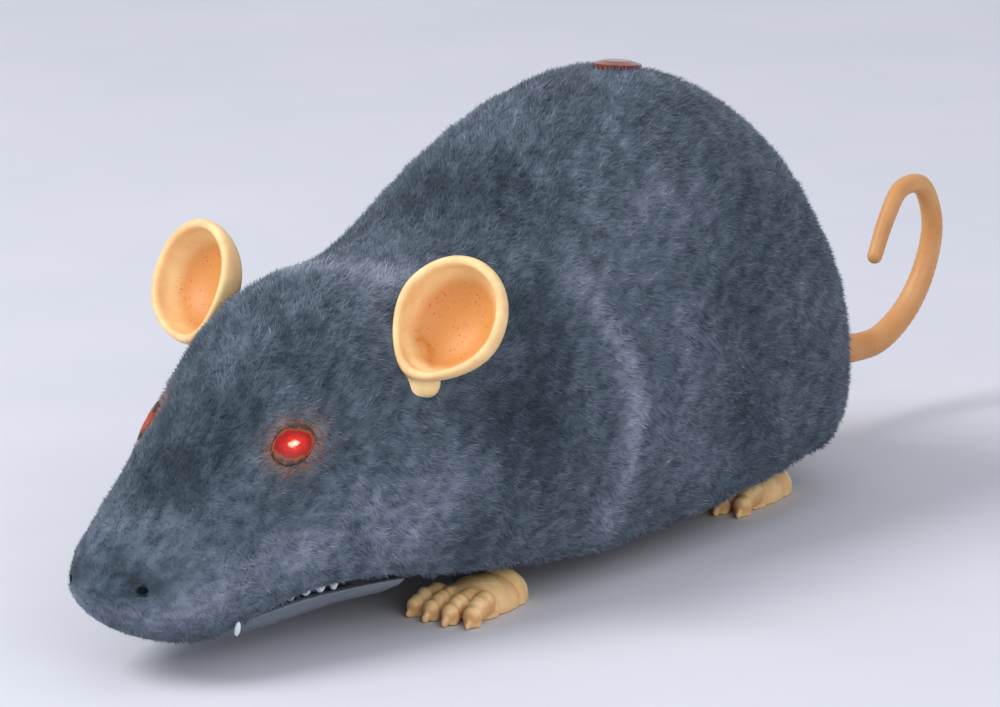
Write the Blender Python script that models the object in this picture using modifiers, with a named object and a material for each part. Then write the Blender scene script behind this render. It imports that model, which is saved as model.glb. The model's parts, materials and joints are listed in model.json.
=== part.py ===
# Robotic mouse cat toy: a flocked shell on a belly pan, four cranked legs, a worm drive and two AA cells.
# Metres, +Z up. The nose points to -Y, the mouse's left side is +X, and the paws stand on Z = 0.
import math

import bmesh
import bpy
import numpy as np
from mathutils import Matrix, Vector

# Body form
BODY_LENGTH = 0.207
BODY_HALF_WIDTH = 0.0394
BODY_HEIGHT = 0.089
TAIL_REACH = 0.0602
SHELL_WALL = 0.002
FORM_RINGS = 27
FORM_POINTS = 26
# One row for each section from the nose back: place along the body, half width, top and bottom, as shares of
# the body's length, half width and height, and the roundness exponent of its lower half
STATION_SHARES = [
    (0.000, 0.127, 0.243, 0.191, 2.1),
    (0.008, 0.218, 0.277, 0.156, 2.1),
    (0.024, 0.300, 0.315, 0.118, 2.1),
    (0.063, 0.390, 0.376, 0.071, 2.1),
    (0.121, 0.482, 0.470, 0.033, 2.2),
    (0.198, 0.610, 0.597, 0.040, 2.6),
    (0.275, 0.746, 0.706, 0.057, 3.3),
    (0.343, 0.843, 0.745, 0.053, 4.6),
    (0.401, 0.886, 0.743, 0.044, 5.4),
    (0.459, 0.914, 0.763, 0.033, 6.0),
    (0.527, 0.949, 0.820, 0.023, 6.2),
    (0.614, 0.985, 0.921, 0.019, 6.2),
    (0.720, 1.000, 1.000, 0.019, 6.0),
    (0.826, 0.990, 0.995, 0.029, 5.4),
    (0.913, 0.934, 0.834, 0.051, 4.4),
    (0.966, 0.774, 0.616, 0.101, 3.4),
    (0.988, 0.584, 0.483, 0.146, 2.6),
    (1.000, 0.305, 0.343, 0.202, 2.3),
]
UPPER_EXPONENT = 2.25
WIDEST_SHARE = 0.42
# A section drawn in by more than it is deep keeps this share of its size
THINNEST_SHARE = 0.3
# The shell's lower edge: lip, throat, flank and rump, as shares of the body's length and height
EDGE_SHARES = [
    (0.060, 0.003),
    (0.082, 0.055),
    (0.094, 0.076),
    (0.110, 0.100),
    (0.140, 0.129),
    (0.174, 0.150),
    (0.217, 0.155),
    (0.261, 0.147),
    (0.319, 0.125),
    (0.382, 0.109),
    (0.454, 0.091),
    (0.498, 0.080),
    (0.565, 0.080),
    (0.710, 0.095),
    (0.797, 0.112),
    (0.865, 0.129),
    (0.947, 0.146),
    (1.040, 0.163),
]
EDGE_STEPS = 3

# Fits
SEAT_GAP = 0.0003
RUN_GAP = 0.0003
OVERRUN = 0.004
WELD_DISTANCE = 0.000005
WELD_STEP = 0.00005
ROUND_SIDES = 16

# Belly pan
BELLY_CLEARANCE = 0.0055
PAN_THICKNESS = 0.002
PAN_LEG_LIFT = 0.0048
PAN_SIDE_GAP = 0.0004
PAN_WALL = 0.0015
PAN_WALL_RISE = 0.0018
PAN_FRONT_ROOM = 0.0017
PAN_REAR_ROOM = 0.0082

# Battery bay
CELL_RADIUS = 0.00725
CELL_LENGTH = 0.0505
CELL_NUB_RADIUS = 0.0027
CELL_NUB_HEIGHT = 0.0012
CELL_SPACING = 0.0155
CONTACT_ROOM = 0.0024
BOX_WALL = 0.0012
BOX_ROOF = 0.0015
BAY_CENTRE_SHARE = 0.616
SPRING_WIRE_RADIUS = 0.0003
SPRING_RADIUS = 0.0032
SPRING_TURNS = 3
PLATE_THICKNESS = 0.0004
PLATE_HALF_WIDTH = 0.0045
DOOR_RAIL = 0.0016
DOOR_LAP = 0.00045
DOOR_FLANGE = 0.0008
DOOR_TAB_LENGTH = 0.008
DOOR_TAB_PITCH = 0.0186
DOOR_SLIDE = 0.010
GRIP_RIB_COUNT = 4
GRIP_RIB_WIDTH = 0.0012
GRIP_RIB_PITCH = 0.0026
GRIP_RIB_HALF_LENGTH = 0.006
GRIP_DEPTH = 0.0005

# Motor and drive
MOTOR_RADIUS = 0.010
MOTOR_HEIGHT = 0.015
MOTOR_LENGTH = 0.025
MOTOR_BOSS_RADIUS = 0.003
MOTOR_BOSS_LENGTH = 0.0015
CLAMP_THICKNESS = 0.001
CLAMP_WIDTH = 0.008
CLAMP_FOOT = 0.006
DRIVE_RADIUS = 0.001
TOOTH_COUNT = 16
TOOTH_MODULE = 0.001
TOOTH_ADDENDUM = 0.0002
TOOTH_DEDENDUM = 0.0009
TOOTH_TIP_HALF = 0.0004
TOOTH_ROOT_HALF = 0.0006
WHEEL_WIDTH = 0.006
WORM_PITCH_RADIUS = 0.003
WORM_CORE_RADIUS = 0.0025
WORM_WIRE_RADIUS = 0.0006
WORM_LENGTH = 0.016
WORM_TURNS = 4.4
WORM_POINTS_PER_TURN = 8

# Legs
# Free lengths between the battery box and the idler axles, as shares of the body's length
FRONT_ROOM_SHARE = 0.0728
REAR_ROOM_SHARE = 0.0528
IDLER_SPACING = 0.015
CRANK_THROW = 0.0026
CRANK_SHAFT_RADIUS = 0.0015
CRANK_DISC_RADIUS = 0.006
CRANK_DISC_THICKNESS = 0.003
PIN_RADIUS = 0.0015
PIN_HEAD_RADIUS = 0.0022
PIN_HEAD_THICKNESS = 0.001
FRAME_HALF_WIDTH = 0.0155
FRAME_WALL = 0.003
FRAME_END_WALL = 0.002
FRAME_RISE = 0.006
ARM_THICKNESS = 0.004
ARM_EYE_RADIUS = 0.0042
SHANK_WIDTH = 0.008
ANKLE_WIDTH = 0.007
ANKLE_DEPTH = 0.004
SLOT_EXTRA = 0.0012

# Paws
PAW_LENGTH = 0.026
PAW_WIDTH = 0.015
PAW_HEIGHT = 0.0072
PAW_LIFT = 0.0007
FRONT_PAW_OUTWARD = 0.0044
REAR_PAW_OUTWARD = 0.0002
FRONT_PAW_OFFSET = 0.0028
REAR_PAW_OFFSET = 0.003
TOE_COUNT = 4
TOE_RADIUS = 0.0024
TOE_LENGTH = 0.0125
TOE_FAN_DEG = 9.0

# Head
EAR_HEIGHT = 0.026
EAR_WIDTH = 0.023
EAR_DEPTH = 0.0085
VINYL_WALL = 0.0016
EAR_LEAN_DEG = 28.0
EAR_BACK_DEG = 28.0
# Width of an ear at its foot, against that of an even oval, and how far up it reaches its full width
EAR_FOOT_SHARE = 0.70
EAR_FULL_SHARE = 0.60
EAR_PEG_RADIUS = 0.0032
EAR_PEG_INSIDE = 0.005
EAR_ALONG_SHARE = 0.311
EAR_AROUND_DEG = 35.0
EYE_ALONG_SHARE = 0.178
EYE_AROUND_DEG = 40.0
EYE_LENGTH = 0.0095
EYE_HEIGHT = 0.0066
EYE_PROUD = 0.0003
EYE_INSIDE = 0.0026
LED_RADIUS = 0.0018
LED_FLANGE_RADIUS = 0.0022
LED_LENGTH = 0.006
LED_FLANGE = 0.001
NOSTRIL_ALONG_SHARE = 0.010
NOSTRIL_AROUND_DEG = 10.0
NOSTRIL_RADIUS = 0.0009
WINDOW_ALONG_SHARE = 0.795
WINDOW_RADIUS = 0.005
WINDOW_FLANGE = 0.001
WINDOW_PROUD = 0.0008
WINDOW_SAG = 0.0018
JAW_WALL = 0.0018
JAW_INSET = 0.0008
JAW_FRONT_SHARE = 0.096
JAW_PAN_GAP = 0.0008
JAW_TONGUE_HALF_WIDTH = 0.006
JAW_TONGUE_LENGTH = 0.014
JAW_TONGUE_THICKNESS = 0.0018
MOUTH_GAP = 0.0026
MOUTH_GAP_SHARES = [(0.096, 0.18), (0.130, 0.35), (0.170, 0.85), (0.217, 1.0), (0.261, 0.75), (0.292, 0.35)]
TOOTH_PLATE_FRONT_SHARE = 0.106
TOOTH_PLATE_ROOM = 0.0088
TOOTH_PLATE_THICKNESS = 0.0015
TOOTH_PLATE_RISE = 0.0012
TOOTH_LENGTH = 0.0042
TOOTH_RADIUS = 0.0013
# A tooth's radius at its tip, and half the lower teeth's bar, against the room beside them
TOOTH_TIP_SHARE = 0.35
LOWER_BAR_SHARE = 0.7
TOOTH_INSET = 0.0050
UPPER_TOOTH_SHARES = [0.152, 0.176, 0.200]
LOWER_TOOTH_SHARE = 0.125
LOWER_TOOTH_LENGTH = 0.0045
LOWER_TOOTH_SEAT = 0.0008

# Tail
TAIL_ROOT_RADIUS = 0.0038
TAIL_TIP_RADIUS = 0.0016
TAIL_PLUG_RADIUS = 0.0058
TAIL_PLUG_THICKNESS = 0.0018
TAIL_POINTS = 30
TAIL_SWING = 0.008
TAIL_CURL_HEIGHT = 0.0500
# The tail's middle line: sideways, back from the rump and up, as shares of its swing, reach and curl height
TAIL_ROUTE_SHARES = [
    (0.00, -0.115, 0.470),
    (0.00, -0.030, 0.468),
    (0.05, 0.060, 0.460),
    (0.13, 0.210, 0.408),
    (0.25, 0.395, 0.346),
    (0.38, 0.570, 0.320),
    (0.50, 0.700, 0.326),
    (0.70, 0.830, 0.420),
    (0.88, 0.930, 0.594),
    (1.00, 0.959, 0.796),
    (1.00, 0.886, 0.970),
    (1.00, 0.762, 0.974),
    (1.00, 0.674, 0.866),
    (1.00, 0.599, 0.724),
]

# Board, receiver, switch
BOARD_LENGTH = 0.034
BOARD_WIDTH = 0.028
BOARD_THICKNESS = 0.0012
BOARD_CENTRE_SHARE = 0.742
BOARD_DROP = 0.0105
BOARD_POST_RADIUS = 0.002
BOARD_POST_SPREAD = 0.010
RECEIVER_SIZE = (0.006, 0.005, 0.0056)
CHIP_SIZE = (0.008, 0.010, 0.0012)
SWITCH_SIZE = (0.012, 0.006, 0.005)
SWITCH_TRAVEL = 0.004
SWITCH_WALL = 0.0006
KNOB_NECK = 0.0024
KNOB_GRIP_LENGTH = 0.005
KNOB_GRIP_WIDTH = 0.004
KNOB_GRIP_HEIGHT = 0.0014
KNOB_NECK_REACH = 0.0015

# Screws and bosses
SCREW_RADIUS = 0.0012
SCREW_LENGTH = 0.010
SCREW_HEAD_RADIUS = 0.0023
SCREW_HEAD_HEIGHT = 0.0012
BOSS_RADIUS = 0.003
BOSS_GAP = 0.0014
FRONT_BOSS_SPREAD = 0.0105
REAR_BOSS_SPREAD = 0.0125
DRIVER_SLOT_WIDTH = 0.0006
DRIVER_SLOT_DEPTH = 0.0005

# Leads
LEAD_RADIUS = 0.0011
LEAD_POINTS = 22

# What follows from the sizes above
NOSE_Y = -(BODY_LENGTH + TAIL_REACH) / 2
RUMP_Y = NOSE_Y + BODY_LENGTH
PAN_LOW = BELLY_CLEARANCE
PAN_LOW_TOP = PAN_LOW + PAN_THICKNESS
PAN_HIGH = BELLY_CLEARANCE + PAN_LEG_LIFT
PAN_HIGH_TOP = PAN_HIGH + PAN_THICKNESS
PAN_WALL_TOP = PAN_HIGH_TOP + PAN_WALL_RISE
CELL_Z = PAN_LOW_TOP + SEAT_GAP + CELL_RADIUS
BAY_ROOF_Z = CELL_Z + CELL_RADIUS + SEAT_GAP
BOX_TOP_Z = BAY_ROOF_Z + BOX_ROOF
DRIVE_Z = BOX_TOP_Z + SEAT_GAP + MOTOR_HEIGHT / 2
WHEEL_RADIUS = TOOTH_COUNT * TOOTH_MODULE / 2
CRANK_Z = DRIVE_Z - WHEEL_RADIUS - WORM_PITCH_RADIUS
BAY_Y = NOSE_Y + BODY_LENGTH * BAY_CENTRE_SHARE
BAY_HALF_Y = CELL_SPACING / 2 + CELL_RADIUS + SEAT_GAP
BAY_HALF_X = CELL_LENGTH / 2 + CONTACT_ROOM
BOX_HALF_X = BAY_HALF_X + BOX_WALL
BOX_HALF_Y = BAY_HALF_Y + BOX_WALL
FRONT_CRANK_Y = BAY_Y - BOX_HALF_Y - BODY_LENGTH * FRONT_ROOM_SHARE - IDLER_SPACING
REAR_CRANK_Y = BAY_Y + BOX_HALF_Y + BODY_LENGTH * REAR_ROOM_SHARE + IDLER_SPACING
DISC_X = FRAME_HALF_WIDTH + SEAT_GAP
ARM_X = DISC_X + CRANK_DISC_THICKNESS + RUN_GAP
PIN_END_X = ARM_X + ARM_THICKNESS + RUN_GAP + PIN_HEAD_THICKNESS
WHEEL_TIP_RADIUS = WHEEL_RADIUS + TOOTH_ADDENDUM
FRAME_REACH = WHEEL_TIP_RADIUS + RUN_GAP + FRAME_END_WALL
FRONT_BOSS_Y = FRONT_CRANK_Y - FRAME_REACH - BOSS_GAP - BOSS_RADIUS
REAR_BOSS_Y = REAR_CRANK_Y + FRAME_REACH + BOSS_GAP + BOSS_RADIUS
SWITCH_Y = REAR_BOSS_Y
PAN_FRONT_Y = FRONT_BOSS_Y - BOSS_RADIUS - PAN_FRONT_ROOM
PAN_REAR_Y = REAR_BOSS_Y + BOSS_RADIUS + PAN_REAR_ROOM
JAW_REAR_Y = PAN_FRONT_Y - JAW_PAN_GAP
TOOTH_PLATE_REAR_Y = FRONT_BOSS_Y - BOSS_RADIUS - TOOTH_PLATE_ROOM
BORE_RADIUS = CRANK_SHAFT_RADIUS + RUN_GAP
DRIVE_BORE_RADIUS = DRIVE_RADIUS + RUN_GAP
WORM_PITCH = math.pi * TOOTH_MODULE

FACING = {"left": 1, "right": -1}


def remove_everything():
    for obj in list(bpy.data.objects):
        bpy.data.objects.remove(obj, do_unlink=True)


def new_collection(name):
    made = bpy.data.collections.new(name)
    bpy.context.scene.collection.children.link(made)
    return made


remove_everything()
PARTS = new_collection("robotic_mouse")
CUTTERS = new_collection("cutters")


def finish(name, colour, roughness, metallic=0.0, alpha=1.0):
    made = bpy.data.materials.new(name)
    made.use_nodes = True
    shader = made.node_tree.nodes["Principled BSDF"]
    shader.inputs["Base Color"].default_value = (*colour, 1.0)
    shader.inputs["Roughness"].default_value = roughness
    shader.inputs["Metallic"].default_value = metallic
    shader.inputs["Alpha"].default_value = alpha
    return made


FLOCK = finish("grey_flock", (0.115, 0.145, 0.190), 0.95)
VINYL = finish("cream_vinyl", (0.82, 0.58, 0.28), 0.55)
DARK_PLASTIC = finish("dark_plastic", (0.030, 0.033, 0.038), 0.45)
JAW_PLASTIC = finish("grey_plastic", (0.100, 0.115, 0.135), 0.40)
WHITE_PLASTIC = finish("white_plastic", (0.80, 0.82, 0.84), 0.30)
GEAR_PLASTIC = finish("gear_plastic", (0.75, 0.72, 0.62), 0.40)
RED_LENS = finish("red_lens", (0.70, 0.02, 0.01), 0.10, alpha=0.7)
CLEAR_LED = finish("red_led", (0.85, 0.10, 0.06), 0.15, alpha=0.8)
STEEL = finish("steel", (0.55, 0.56, 0.58), 0.30, 1.0)
BOARD_GREEN = finish("board_green", (0.03, 0.16, 0.07), 0.50)
CHIP_BLACK = finish("chip_black", (0.02, 0.02, 0.02), 0.50)
CELL_YELLOW = finish("cell_wrap", (0.80, 0.62, 0.05), 0.35)
LEAD_RED = finish("lead_sleeve", (0.45, 0.03, 0.02), 0.50)


def add_object(name, mesh, material=None, place=None):
    """A part when it has a material, a hidden helper for a Boolean when it has none."""
    obj = bpy.data.objects.new(name, mesh)
    if place is not None:
        obj.matrix_world = place
    if material is None:
        CUTTERS.objects.link(obj)
        obj.hide_render = True
        obj.display_type = "WIRE"
    else:
        PARTS.objects.link(obj)
        mesh.materials.append(material)
    return obj


def from_bmesh(name, shape, material=None, place=None, smooth=False):
    mesh = bpy.data.meshes.new(name)
    bmesh.ops.recalc_face_normals(shape, faces=shape.faces)
    shape.to_mesh(mesh)
    shape.free()
    if smooth:
        mesh.shade_smooth()
        mesh.set_sharp_from_angle(angle=math.radians(35))
    return add_object(name, mesh, material, place)


def box(name, low, high, material=None, bevel=0):
    """A box between two corners, with its origin at its centre."""
    low, high = Vector(low), Vector(high)
    shape = bmesh.new()
    bmesh.ops.create_cube(shape, size=1, matrix=Matrix.Diagonal((*(high - low), 1)))
    obj = from_bmesh(name, shape, material, Matrix.Translation((low + high) / 2))
    if bevel:
        rounding = obj.modifiers.new("rounded_edges", "BEVEL")
        rounding.width = bevel
        rounding.segments = 2
    return obj


TURNS = {
    "X": Matrix.Rotation(math.pi / 2, 4, "Y"),
    "Y": Matrix.Rotation(-math.pi / 2, 4, "X"),
    "Z": Matrix.Identity(4),
}


def rod(name, radius, start, end, axis, centre, material=None, sides=ROUND_SIDES, end_radius=None):
    """A cylinder or cone along an axis, from start to end on that axis, about a centre on the other two."""
    shape = bmesh.new()
    bmesh.ops.create_cone(
        shape,
        cap_ends=True,
        segments=sides,
        radius1=radius,
        radius2=radius if end_radius is None else end_radius,
        depth=end - start,
        matrix=TURNS[axis],
    )
    at = Vector(centre)
    at["XYZ".index(axis)] = (start + end) / 2
    return from_bmesh(name, shape, material, Matrix.Translation(at), smooth=True)


def turned(name, profile, material=None, place=None, steps=ROUND_SIDES):
    """A profile of (radius, height) points, from the top down its outer side, turned about its own Z."""
    shape = bmesh.new()
    corners = [shape.verts.new((radius, 0, height)) for radius, height in profile]
    for first, second in zip(corners, corners[1:]):
        shape.edges.new((first, second))
    mesh = bpy.data.meshes.new(name)
    shape.to_mesh(mesh)
    shape.free()
    obj = add_object(name, mesh, material, place)
    screw = obj.modifiers.new("turned", "SCREW")
    screw.axis = "Z"
    screw.angle = 2 * math.pi
    screw.steps = steps
    screw.render_steps = steps
    screw.use_merge_vertices = True
    screw.merge_threshold = WELD_DISTANCE
    screw.use_smooth_shade = True
    return obj


def solid_of_curve(name, curve, material=None, place=None, smooth=False):
    """The mesh of a curve with its caps welded on, so that it can be cut and joined."""
    guide = bpy.data.objects.new(name + "_curve", curve)
    bpy.context.scene.collection.objects.link(guide)
    graph = bpy.context.evaluated_depsgraph_get()
    mesh = bpy.data.meshes.new_from_object(guide.evaluated_get(graph))
    bpy.data.objects.remove(guide)
    shape = bmesh.new()
    shape.from_mesh(mesh)
    bmesh.ops.remove_doubles(shape, verts=shape.verts, dist=WELD_DISTANCE)
    return from_bmesh(name, shape, material, place, smooth)


def plate(name, loops, thickness, material=None, place=None):
    """A flat outline with its holes, in its own XY plane, as thick as given about that plane."""
    curve = bpy.data.curves.new(name, "CURVE")
    curve.dimensions = "2D"
    curve.fill_mode = "BOTH"
    curve.extrude = thickness / 2
    for loop in loops:
        spline = curve.splines.new("POLY")
        spline.points.add(len(loop) - 1)
        for point, (across, along) in zip(spline.points, loop):
            point.co = (across, along, 0, 1)
        spline.use_cyclic_u = True
    return solid_of_curve(name, curve, material, place)


def tube(name, points, radii, material=None, sides_step=2):
    """A round tube through points, each with its own radius."""
    widest = max(radii)
    curve = bpy.data.curves.new(name, "CURVE")
    curve.dimensions = "3D"
    curve.bevel_depth = widest
    curve.bevel_resolution = sides_step
    curve.use_fill_caps = True
    spline = curve.splines.new("POLY")
    spline.points.add(len(points) - 1)
    for point, place, radius in zip(spline.points, points, radii):
        point.co = (*place, 1)
        point.radius = radius / widest
    return solid_of_curve(name, curve, material, smooth=True)


def combine(obj, other, operation):
    step = obj.modifiers.new(operation.lower() + "_" + other.name, "BOOLEAN")
    step.operation = operation
    step.solver = "EXACT"
    step.object = other
    return obj


def cut(obj, *others):
    for other in others:
        combine(obj, other, "DIFFERENCE")
    return obj


def join(obj, *others):
    for other in others:
        combine(obj, other, "UNION")
    return obj


def keep(obj, other):
    return combine(obj, other, "INTERSECT")


def circle(radius, centre=(0, 0), sides=ROUND_SIDES):
    turns = [2 * math.pi * step / sides for step in range(sides)]
    return [(centre[0] + radius * math.cos(turn), centre[1] + radius * math.sin(turn)) for turn in turns]


def arc(radius, centre, start_deg, end_deg, steps=8):
    turns = np.radians(np.linspace(start_deg, end_deg, steps + 1))
    return [(centre[0] + radius * math.cos(turn), centre[1] + radius * math.sin(turn)) for turn in turns]


def smooth_through(places, knots, values):
    """Values at places, on one smooth curve through the knots."""
    knots, values, places = np.asarray(knots), np.asarray(values), np.asarray(places)
    slopes = np.gradient(values, knots)
    before = np.clip(np.searchsorted(knots, places) - 1, 0, len(knots) - 2)
    span = knots[before + 1] - knots[before]
    part = (places - knots[before]) / span
    return (
        (2 * part**3 - 3 * part**2 + 1) * values[before]
        + (part**3 - 2 * part**2 + part) * span * slopes[before]
        + (3 * part**2 - 2 * part**3) * values[before + 1]
        + (part**3 - part**2) * span * slopes[before + 1]
    )


STATIONS = np.array(STATION_SHARES)


def section(along):
    """Half width, top, bottom and lower exponent of the body at a share of its length."""
    half_width, top, bottom, exponent = (
        float(smooth_through(along, STATIONS[:, 0], STATIONS[:, column])) for column in (1, 2, 3, 4)
    )
    return BODY_HALF_WIDTH * half_width, BODY_HEIGHT * top, BODY_HEIGHT * bottom, exponent


def signed_power(value, power):
    return math.copysign(abs(value) ** power, value)


def form_point(along, turn, inset=0.0):
    """A point on the body's form, at a share of its length and an angle up from its left side."""
    half_width, top, bottom, exponent = section(along)
    middle = bottom + WIDEST_SHARE * (top - bottom)
    rise = top - middle if math.sin(turn) > 0 else middle - bottom
    power = 2 / (UPPER_EXPONENT if math.sin(turn) > 0 else exponent)
    end_inset = inset * (1 - 2 * along)
    reach = max(half_width - inset, half_width * THINNEST_SHARE)
    rise = max(rise - inset, rise * THINNEST_SHARE)
    return Vector(
        (
            reach * signed_power(math.cos(turn), power),
            NOSE_Y + BODY_LENGTH * along + end_inset,
            middle + rise * signed_power(math.sin(turn), power),
        )
    )


def form_frame(along, turn_deg, mirrored=1):
    """A frame on the form: origin on the surface, Z out of it, X along the body."""
    turn = math.radians(turn_deg)
    step_share = 0.004
    step_turn = math.radians(1.5)
    origin = form_point(along, turn)
    lengthwise = form_point(along + step_share, turn) - form_point(along - step_share, turn)
    crosswise = form_point(along, turn + step_turn) - form_point(along, turn - step_turn)
    outward = lengthwise.cross(crosswise).normalized()
    if outward.dot(Vector((math.cos(turn), 0, math.sin(turn)))) < 0:
        outward = -outward
    across = lengthwise.normalized()
    upward = outward.cross(across).normalized()
    frame = Matrix((across, upward, outward)).transposed().to_4x4()
    if mirrored < 0:
        flip = Matrix.Diagonal((-1, 1, 1, 1))
        frame = flip @ frame @ Matrix.Diagonal((1, -1, 1, 1))
        origin = Vector((-origin.x, origin.y, origin.z))
    return Matrix.Translation(origin) @ frame


def body_form(name, inset=0.0, material=None, rings=FORM_RINGS, around=FORM_POINTS):
    """The closed form of the body, drawn in by an inset: rings from nose to rump, closer at the ends."""
    shape = bmesh.new()
    shares = []
    for step in range(rings):
        part = step / (rings - 1)
        shares.append(0.3 * part + 0.7 * (1 - math.cos(math.pi * part)) / 2)
    rows = []
    for share in shares:
        turns = [2 * math.pi * (step + 0.5) / around for step in range(around)]
        rows.append([shape.verts.new(form_point(share, turn, inset)) for turn in turns])
    for row, following in zip(rows, rows[1:]):
        for step in range(around):
            after = (step + 1) % around
            shape.faces.new((row[step], row[after], following[after], following[step]))
    shape.faces.new(rows[0])
    shape.faces.new(rows[-1])
    bmesh.ops.triangulate(shape, faces=shape.faces)
    return from_bmesh(name, shape, material, smooth=True)


def side_plate(name, points, half_width, material=None):
    """A prism across the body, from an outline of (y, z) points."""
    place = Matrix(((0, 0, 1, 0), (1, 0, 0, 0), (0, 1, 0, 0), (0, 0, 0, 1)))
    return plate(name, [points], 2 * half_width, material, place)


def edge_height(along):
    """Height of the shell's lower edge at a share of the body's length."""
    knots = np.array(EDGE_SHARES)
    return BODY_HEIGHT * float(smooth_through(along, knots[:, 0], knots[:, 1]))


def along_to_y(share):
    return NOSE_Y + BODY_LENGTH * share


def y_to_along(y):
    return (y - NOSE_Y) / BODY_LENGTH


def edge_line(start, end, count, rise=0, gap_share=0):
    """(y, z) points along the shell's lower edge, raised, or let down by a share of the mouth's gap."""
    line = []
    for share in np.linspace(start, end, count):
        line.append((along_to_y(share), edge_height(share) + rise - gap_share * jaw_drop(share)))
    return line


HALF_REACH = BODY_HALF_WIDTH + OVERRUN


def boss_places():
    """Each screw boss: its end and side, and its middle across and along the body."""
    ends = (("front", FRONT_BOSS_Y, FRONT_BOSS_SPREAD), ("rear", REAR_BOSS_Y, REAR_BOSS_SPREAD))
    for end, y, spread in ends:
        for side, sign in FACING.items():
            yield f"{end}_{side}", (sign * spread, y)


def make_shell():
    shell = body_form("body_shell", 0, FLOCK)
    wall = shell.modifiers.new("wall", "SOLIDIFY")
    wall.thickness = SHELL_WALL
    wall.offset = -1
    wall.use_even_offset = True
    first, last = EDGE_SHARES[0][0], EDGE_SHARES[-1][0]
    below = edge_line(first, last, len(EDGE_SHARES) * EDGE_STEPS)
    below += [(along_to_y(last), -OVERRUN), (along_to_y(first), -OVERRUN)]
    cut(shell, side_plate("below_the_edge", below, HALF_REACH))
    inner = body_form("inside_half_wall", SHELL_WALL / 2)
    for name, (x, y) in boss_places():
        low, high = PAN_HIGH_TOP + SEAT_GAP, BODY_HEIGHT + OVERRUN
        boss = rod(f"{name}_boss", BOSS_RADIUS, low, high, "Z", (x, y, 0), sides=14)
        keep(boss, inner)
        join(shell, boss)
        pilot_top = PAN_HIGH_TOP + SCREW_LENGTH
        radius = SCREW_RADIUS + RUN_GAP
        cut(shell, rod(f"{name}_pilot", radius, PAN_HIGH, pilot_top, "Z", (x, y, 0), sides=12))
    board_top = board_height() + BOARD_THICKNESS
    for side, sign in FACING.items():
        centre = (sign * BOARD_POST_SPREAD, along_to_y(BOARD_CENTRE_SHARE), 0)
        low, high = board_top + SEAT_GAP, BODY_HEIGHT + OVERRUN
        post = rod(f"{side}_board_post", BOARD_POST_RADIUS, low, high, "Z", centre, sides=12)
        keep(post, inner)
        join(shell, post)
    for side, sign in FACING.items():
        cut(shell, ear_peg(f"{side}_ear_hole", sign, RUN_GAP))
        cut(shell, eye_plug(f"{side}_eye_hole", sign, RUN_GAP, OVERRUN))
        pit = [(0, NOSTRIL_RADIUS), (NOSTRIL_RADIUS, NOSTRIL_RADIUS)]
        pit += [(NOSTRIL_RADIUS, -NOSTRIL_RADIUS), (0, -NOSTRIL_RADIUS)]
        place = form_frame(NOSTRIL_ALONG_SHARE, NOSTRIL_AROUND_DEG, sign)
        nostril = turned(f"{side}_nostril_pit", pit, place=place, steps=10)
        cut(shell, nostril)
    radius = WINDOW_RADIUS + RUN_GAP
    profile = [(0, OVERRUN), (radius, OVERRUN), (radius, -OVERRUN), (0, -OVERRUN)]
    cut(shell, turned("window_hole", profile, place=form_frame(WINDOW_ALONG_SHARE, 90)))
    tail_y, tail_z = tail_route()[1][1], tail_route()[1][2]
    root_radius = TAIL_ROOT_RADIUS + RUN_GAP
    start, end = tail_y - OVERRUN, RUMP_Y + OVERRUN
    cut(shell, rod("tail_hole", root_radius, start, end, "Y", (0, 0, tail_z), sides=16))
    return shell


def screw(name, centre, head_z, length=SCREW_LENGTH):
    """A pan-head screw, pointing up: its head's flat underside is at head_z, and the head has a slot."""
    x, y = centre
    profile = [
        (0, length),
        (SCREW_RADIUS, length - SCREW_RADIUS),
        (SCREW_RADIUS, 0),
        (SCREW_HEAD_RADIUS, 0),
        (SCREW_HEAD_RADIUS, -SCREW_HEAD_HEIGHT),
        (0, -SCREW_HEAD_HEIGHT),
    ]
    made = turned(name, profile, STEEL, Matrix.Translation((x, y, head_z)), steps=14)
    slot_half = DRIVER_SLOT_WIDTH / 2
    reach = SCREW_HEAD_RADIUS + OVERRUN
    low = head_z - SCREW_HEAD_HEIGHT - OVERRUN
    high = head_z - SCREW_HEAD_HEIGHT + DRIVER_SLOT_DEPTH
    return cut(made, box(name + "_slot", (x - reach, y - slot_half, low), (x + reach, y + slot_half, high)))


def case_screw_places():
    for name, centre in boss_places():
        yield f"{name}_case_screw", centre


def leg_places():
    """Each leg: name, side sign, crank y, direction of its pin at rest, and direction to its idler."""
    yield "left_front", 1, FRONT_CRANK_Y, -1, 1
    yield "right_front", -1, FRONT_CRANK_Y, 1, 1
    yield "left_rear", 1, REAR_CRANK_Y, 1, -1
    yield "right_rear", -1, REAR_CRANK_Y, -1, -1


def paw_place(inward):
    """A paw's middle from the crank pin: outward from the arm, and along the body."""
    if inward > 0:
        return FRONT_PAW_OUTWARD, FRONT_PAW_OFFSET
    return REAR_PAW_OUTWARD, REAR_PAW_OFFSET


def ankle_offset(inward):
    """How far the ankle's middle stands from the crank pin: over the paw's back half."""
    return paw_place(inward)[1] + PAW_LENGTH / 6


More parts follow.
